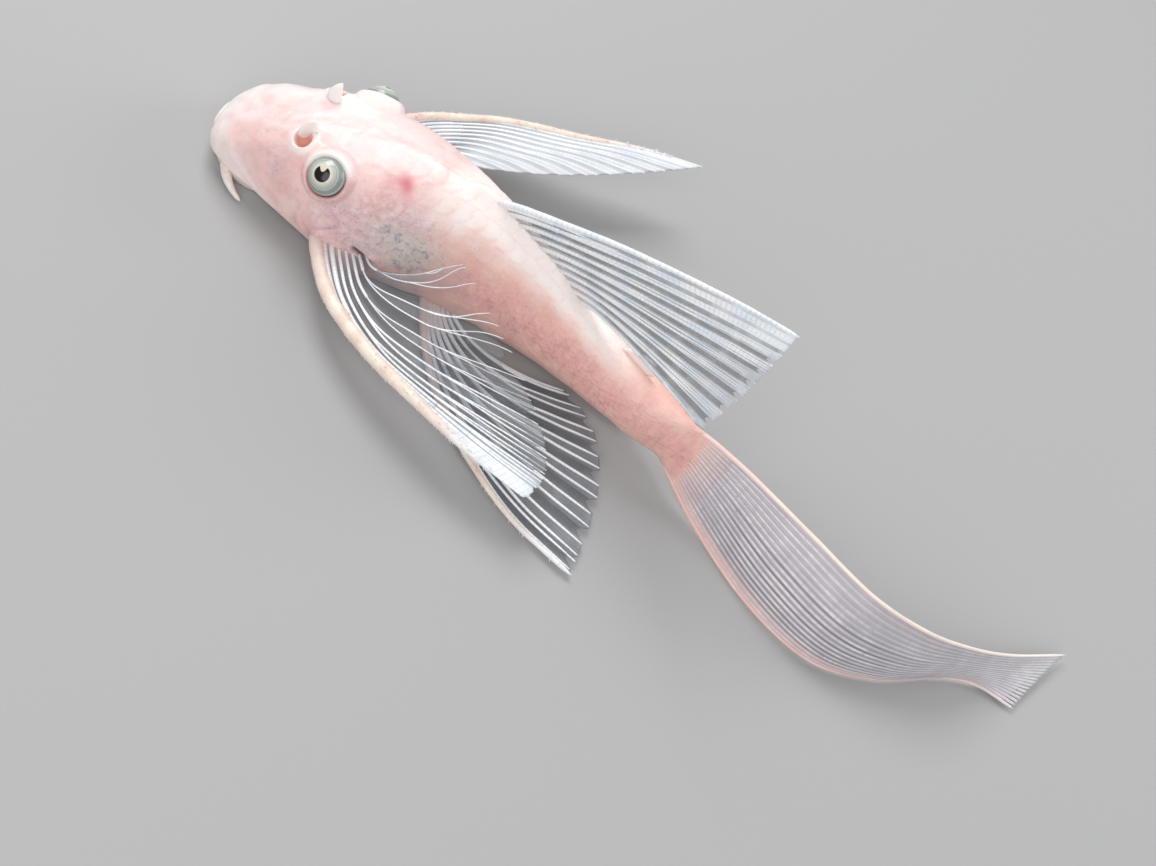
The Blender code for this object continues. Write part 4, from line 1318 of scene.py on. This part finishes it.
# %% [markdown]
# ## Finishes of the fins
# Membrane is thin and smoky: clear between the bundles, milky beside the rays and at the tips.
# Rays are white with a touch of blue, and jointed all along like bamboo. On the tail fin the
# flesh runs out between the rays, so there the root is pink and opaque and turns slowly grey.
# %% Membrane finish
FIN_PINK = colour(238, 196, 186)
FIN_ROOT = colour(246, 212, 206)
FIN_FLESH = colour(238, 220, 218)
SPINE_ROOT = colour(242, 212, 206)
FIN_CREAM = colour(250, 242, 238)
FIN_WHITE = colour(240, 245, 250)
SMOKE = colour(96, 98, 104)
TAIL_SMOKE = colour(196, 188, 194)
STREAK = colour(112, 110, 118)


def web_finish(name, smoke, flesh, flesh_end, clear, dense):
    """Smoky membrane: its flesh at the root, its milk beside the rays and its clear gaps."""
    web = Finish(name, Roughness=0.30, IOR=1.36)
    along, lane, milk, rim = (web.attribute(name) for name in ("along", "lane", "milk", "rim"))
    beside = (lane - lane.math("ROUND")).math("ABSOLUTE")
    bundle = (beside - along * 0.27).ramp(0.12, 0.02)
    thread = (lane * 50).math("SINE") * 0.5 + 0.5
    mist = web.noise(web.place(), 0.5, 3.0)
    streak = web.attribute("streak") * beside.ramp(0.30, 0.42)
    root = along.ramp(flesh_end, 0.02)
    white = bundle * dense * (0.4 + along * 0.8) + thread * 0.12 + milk * 0.8
    white = white + mist.ramp(0.4, 0.75) * dense * 0.5
    tone = web.paint(
        smoke,
        (white.math("MINIMUM", 1.0), FIN_WHITE),
        (streak * 0.9, STREAK),
        (rim * 0.85, flesh),
        (root, flesh),
    )
    web.feed("Base Color", tone)
    cover = clear + mist * 0.10 + bundle * (dense * 0.5) + milk * 0.5 + root * 0.7
    cover = (cover + rim * 0.45 + streak * 0.3).math("MINIMUM", 1.0)
    web.feed("Alpha", cover * (1 - web.attribute("faint") * 0.9))
    return web


# %% Ray and spine finishes
def ray_finish(name, flesh, flesh_end, tone_one, tone_two):
    """White jointed rays, the colour of flesh at the root."""
    ray = Finish(name, Roughness=0.34, Coat_Weight=0.3, Coat_Roughness=0.15, IOR=1.40)
    along = ray.attribute("along")
    cloudy = ray.noise(ray.place(), 0.3)
    joint = (along * 420).math("SINE").ramp(0.75, 1.0)
    tone = ray.paint(
        tone_one,
        (cloudy.ramp(0.3, 0.7), tone_two),
        (joint * 0.12, SMOKE),
        (along.ramp(flesh_end, 0.03), flesh),
    )
    ray.feed("Base Color", tone)
    ray.bump(joint * -0.05, 0.8)
    return ray


def spine_finish(name, root, pale, warm, tip_tone):
    """Fleshy skin over a spine: the skin's pink at its root, beige along it, pale at its tip."""
    spine = Finish(name, Roughness=0.5, Coat_Weight=0.2, Coat_Roughness=0.3)
    along = spine.attribute("along")
    where = spine.place()
    grain = spine.noise(where, 3.0, 3.0, 0.7)
    tone = spine.paint(
        pale,
        (spine.noise(where, 0.35).ramp(0.35, 0.7), warm),
        (grain.ramp(0.55, 0.8) * 0.35, FIN_PINK),
        (along.ramp(0.72, 1.0), tip_tone),
        (along.ramp(0.30, 0.10), root),
    )
    spine.feed("Base Color", tone)
    spine.bump(grain * 0.12, 0.9)
    return spine


WEB = web_finish("fin membrane", SMOKE, FIN_FLESH, 0.30, 0.28, 0.16)
BACK_WEB = web_finish("back fin membrane", SMOKE, FIN_CREAM, 0.13, 0.32, 0.55)
TAIL_WEB = web_finish("tail membrane", TAIL_SMOKE, FIN_PINK, 0.15, 0.55, 0.35)
RAY = ray_finish("fin ray", FIN_FLESH, 0.24, colour(254, 254, 255), colour(236, 242, 250))
TAIL_RAY = ray_finish("tail ray", FIN_PINK, 0.15, colour(230, 224, 228), colour(208, 202, 210))
SPINE = spine_finish("fin spine", SPINE_ROOT, colour(250, 236, 222), colour(242, 216, 202), FIN_WHITE)
TAIL_EDGE = spine_finish("tail edge", FIN_ROOT, colour(250, 238, 226), colour(242, 228, 220), FIN_CREAM)
TAIL_LOW_EDGE = spine_finish("tail lower edge", FIN_PINK, FIN_ROOT, FIN_PINK, colour(232, 226, 224))
SMALL_FIN = spine_finish("small fin", FIN_ROOT, FIN_CREAM, colour(252, 238, 232), FIN_CREAM)
# The finishes of membrane, rays and leading edge, where they aren't the usual three.
FIN_FINISHES = {
    "caudal_fin": (TAIL_WEB, TAIL_RAY, TAIL_EDGE),
    "dorsal_fin": (BACK_WEB, RAY, RAY),
    "adipose_fin": (SMALL_FIN, SMALL_FIN, SMALL_FIN),
}
print("finishes so far:", len(bpy.data.materials))


# %% All the fins
def make_fin(seed, name):
    """The membrane, the rays and the edges of one fin."""
    guides = GUIDES[name]
    rays, crowding = FINS[name][:2]
    radii, thorns, fillet = FINS[name][5:]
    curl = CURL.get(name, 0.0)
    tuck = TUCK.get(name, (0.0, 0.0, 0.0))
    end = SPINE_ENDS.get(name, 1.0)
    sheet, ray, edge = FIN_FINISHES.get(name, (WEB, RAY, SPINE))
    web = make_web(guides, rays, crowding, fillet, MILKY.get(name, 0.0), curl)
    add_piece(name + "_membrane", web, sheet, "fins", name)
    if rays > 2:
        add_piece(name + "_rays", make_rays(guides, FINS[name], seed, curl), ray, "fins")
    spine = make_edge(guides, 0.0, radii, end, seed + 50, thorns, tuck, SWELL.get(name, 0.0))
    add_piece(name + "_spine", spine, edge, "fins")
    if name == "caudal_fin":
        lower = make_edge(guides, 1.0, radii, end, seed + 90, thorns, LOWER_TUCK)
        add_piece(name + "_lower_spine", lower, TAIL_LOW_EDGE, "fins")


for seed, name in enumerate(FINS):
    make_fin(seed, name)

# %% [markdown]
# ## The sucking mouth
# Under the snout is a round disc of soft lips with small warts, a feeler at each corner and two
# short rows of teeth. It rests flat on the floor. The disc is turned from a profile, as on a
# lathe, and the feelers are rods like the fin rays.
# %% Measures of the mouth
LIP_STATION = 7.2
LIP_SIZE = 6.8
# The profile from the middle of the roof, round the rim and back under it: share of the
# disc's size, height.
LIP_PROFILE = (
    (0.0, 2.6), (0.60, 2.9), (0.95, 2.95), (1.02, 2.4), (1.045, 1.6), (1.03, 0.8), (0.99, 0.25),
    (0.93, 0.0), (0.80, 0.0), (0.70, 0.1), (0.62, 0.35), (0.54, 0.8), (0.42, 1.1), (0.2, 1.2),
    (0.0, 1.2),
)
LIP_RINGS = 60
LIP_TURNS = 121
UNDERSIDE = 22
WART = 0.16
# The feelers' roots, the handles of their curve and their tips, from the disc's middle and rim.
FEELER = ((-3.4, -2.2, 1.25), (-2.6, 1.6, 1.15), (1.2, 2.7, 0.4))
TEETH = 9
TOOTH_RADII = (0.12, 0.03)
TOOTH_LENGTH = 0.8
POINT_DOWN = Matrix.Rotation(math.pi, 4, "X")


# %% Lips, feelers and teeth
def lip_finish():
    """Soft white lips with spots of blush."""
    lips = Finish("soft lips", Roughness=0.42, Coat_Weight=0.3, Coat_Roughness=0.2,
                  Subsurface_Weight=0.25, Subsurface_Scale=1.0 * MM)
    spots = lips.noise(lips.place(), 1.6).ramp(0.4, 0.7)
    lips.feed("Base Color", lips.paint(colour(246, 234, 228), (spots, colour(240, 218, 212))))
    return lips


def make_disc():
    """The disc of the mouth, turned from its profile, with warts on its underside."""
    turns = np.linspace(0, 2 * math.pi, LIP_TURNS)
    rings = np.arange(LIP_RINGS)[:, None]
    share, level = through(LIP_PROFILE, np.linspace(0, 1, LIP_RINGS)).T[..., None]
    wart = np.abs(np.sin(turns * 24) * np.sin(40 * rings / (LIP_RINGS - 1)))
    wart = WART * wart * ramp(share, 0.5, 0.7) * (rings > UNDERSIDE)
    level = np.maximum(level - wart * (level > 0.2), 0.0)
    station = LIP_STATION - LIP_SIZE * share * np.cos(turns)
    side = LIP_SIZE * share * np.sin(turns)
    return wrap_grid(bend(np.stack([station, side, level], -1)))


def make_mouth():
    """The disc with its two feelers and two rows of teeth."""
    mesh = make_disc()
    for turn in (1, -1):
        root, handle, tip = (
            bend((LIP_STATION + back, turn * (LIP_SIZE + out), up)) for back, out, up in FEELER
        )

        def path(z):
            z = z[:, None]
            return root * (1 - z) ** 2 + handle * (2 * z * (1 - z)) + tip * z * z

        def thick(z):
            return (1.05 - 0.80 * z) * np.sqrt(np.clip((1 - z) / 0.08, 0.05, 1))

        add_rod(mesh, 12, 24, path, lambda z: np.array((0, 0, 1.0)), thick)
        for k in range(TEETH):
            spot = bend((LIP_STATION + 0.8 * (k / TEETH) ** 2, turn * (0.5 + 0.26 * k), 0.95))
            add_cone(mesh, 6, TOOTH_RADII, TOOTH_LENGTH, spot, POINT_DOWN)
    bmesh.ops.recalc_face_normals(mesh, faces=mesh.faces)
    return mesh


add_piece("lips", make_mouth(), lip_finish(), "lips", "mouth")
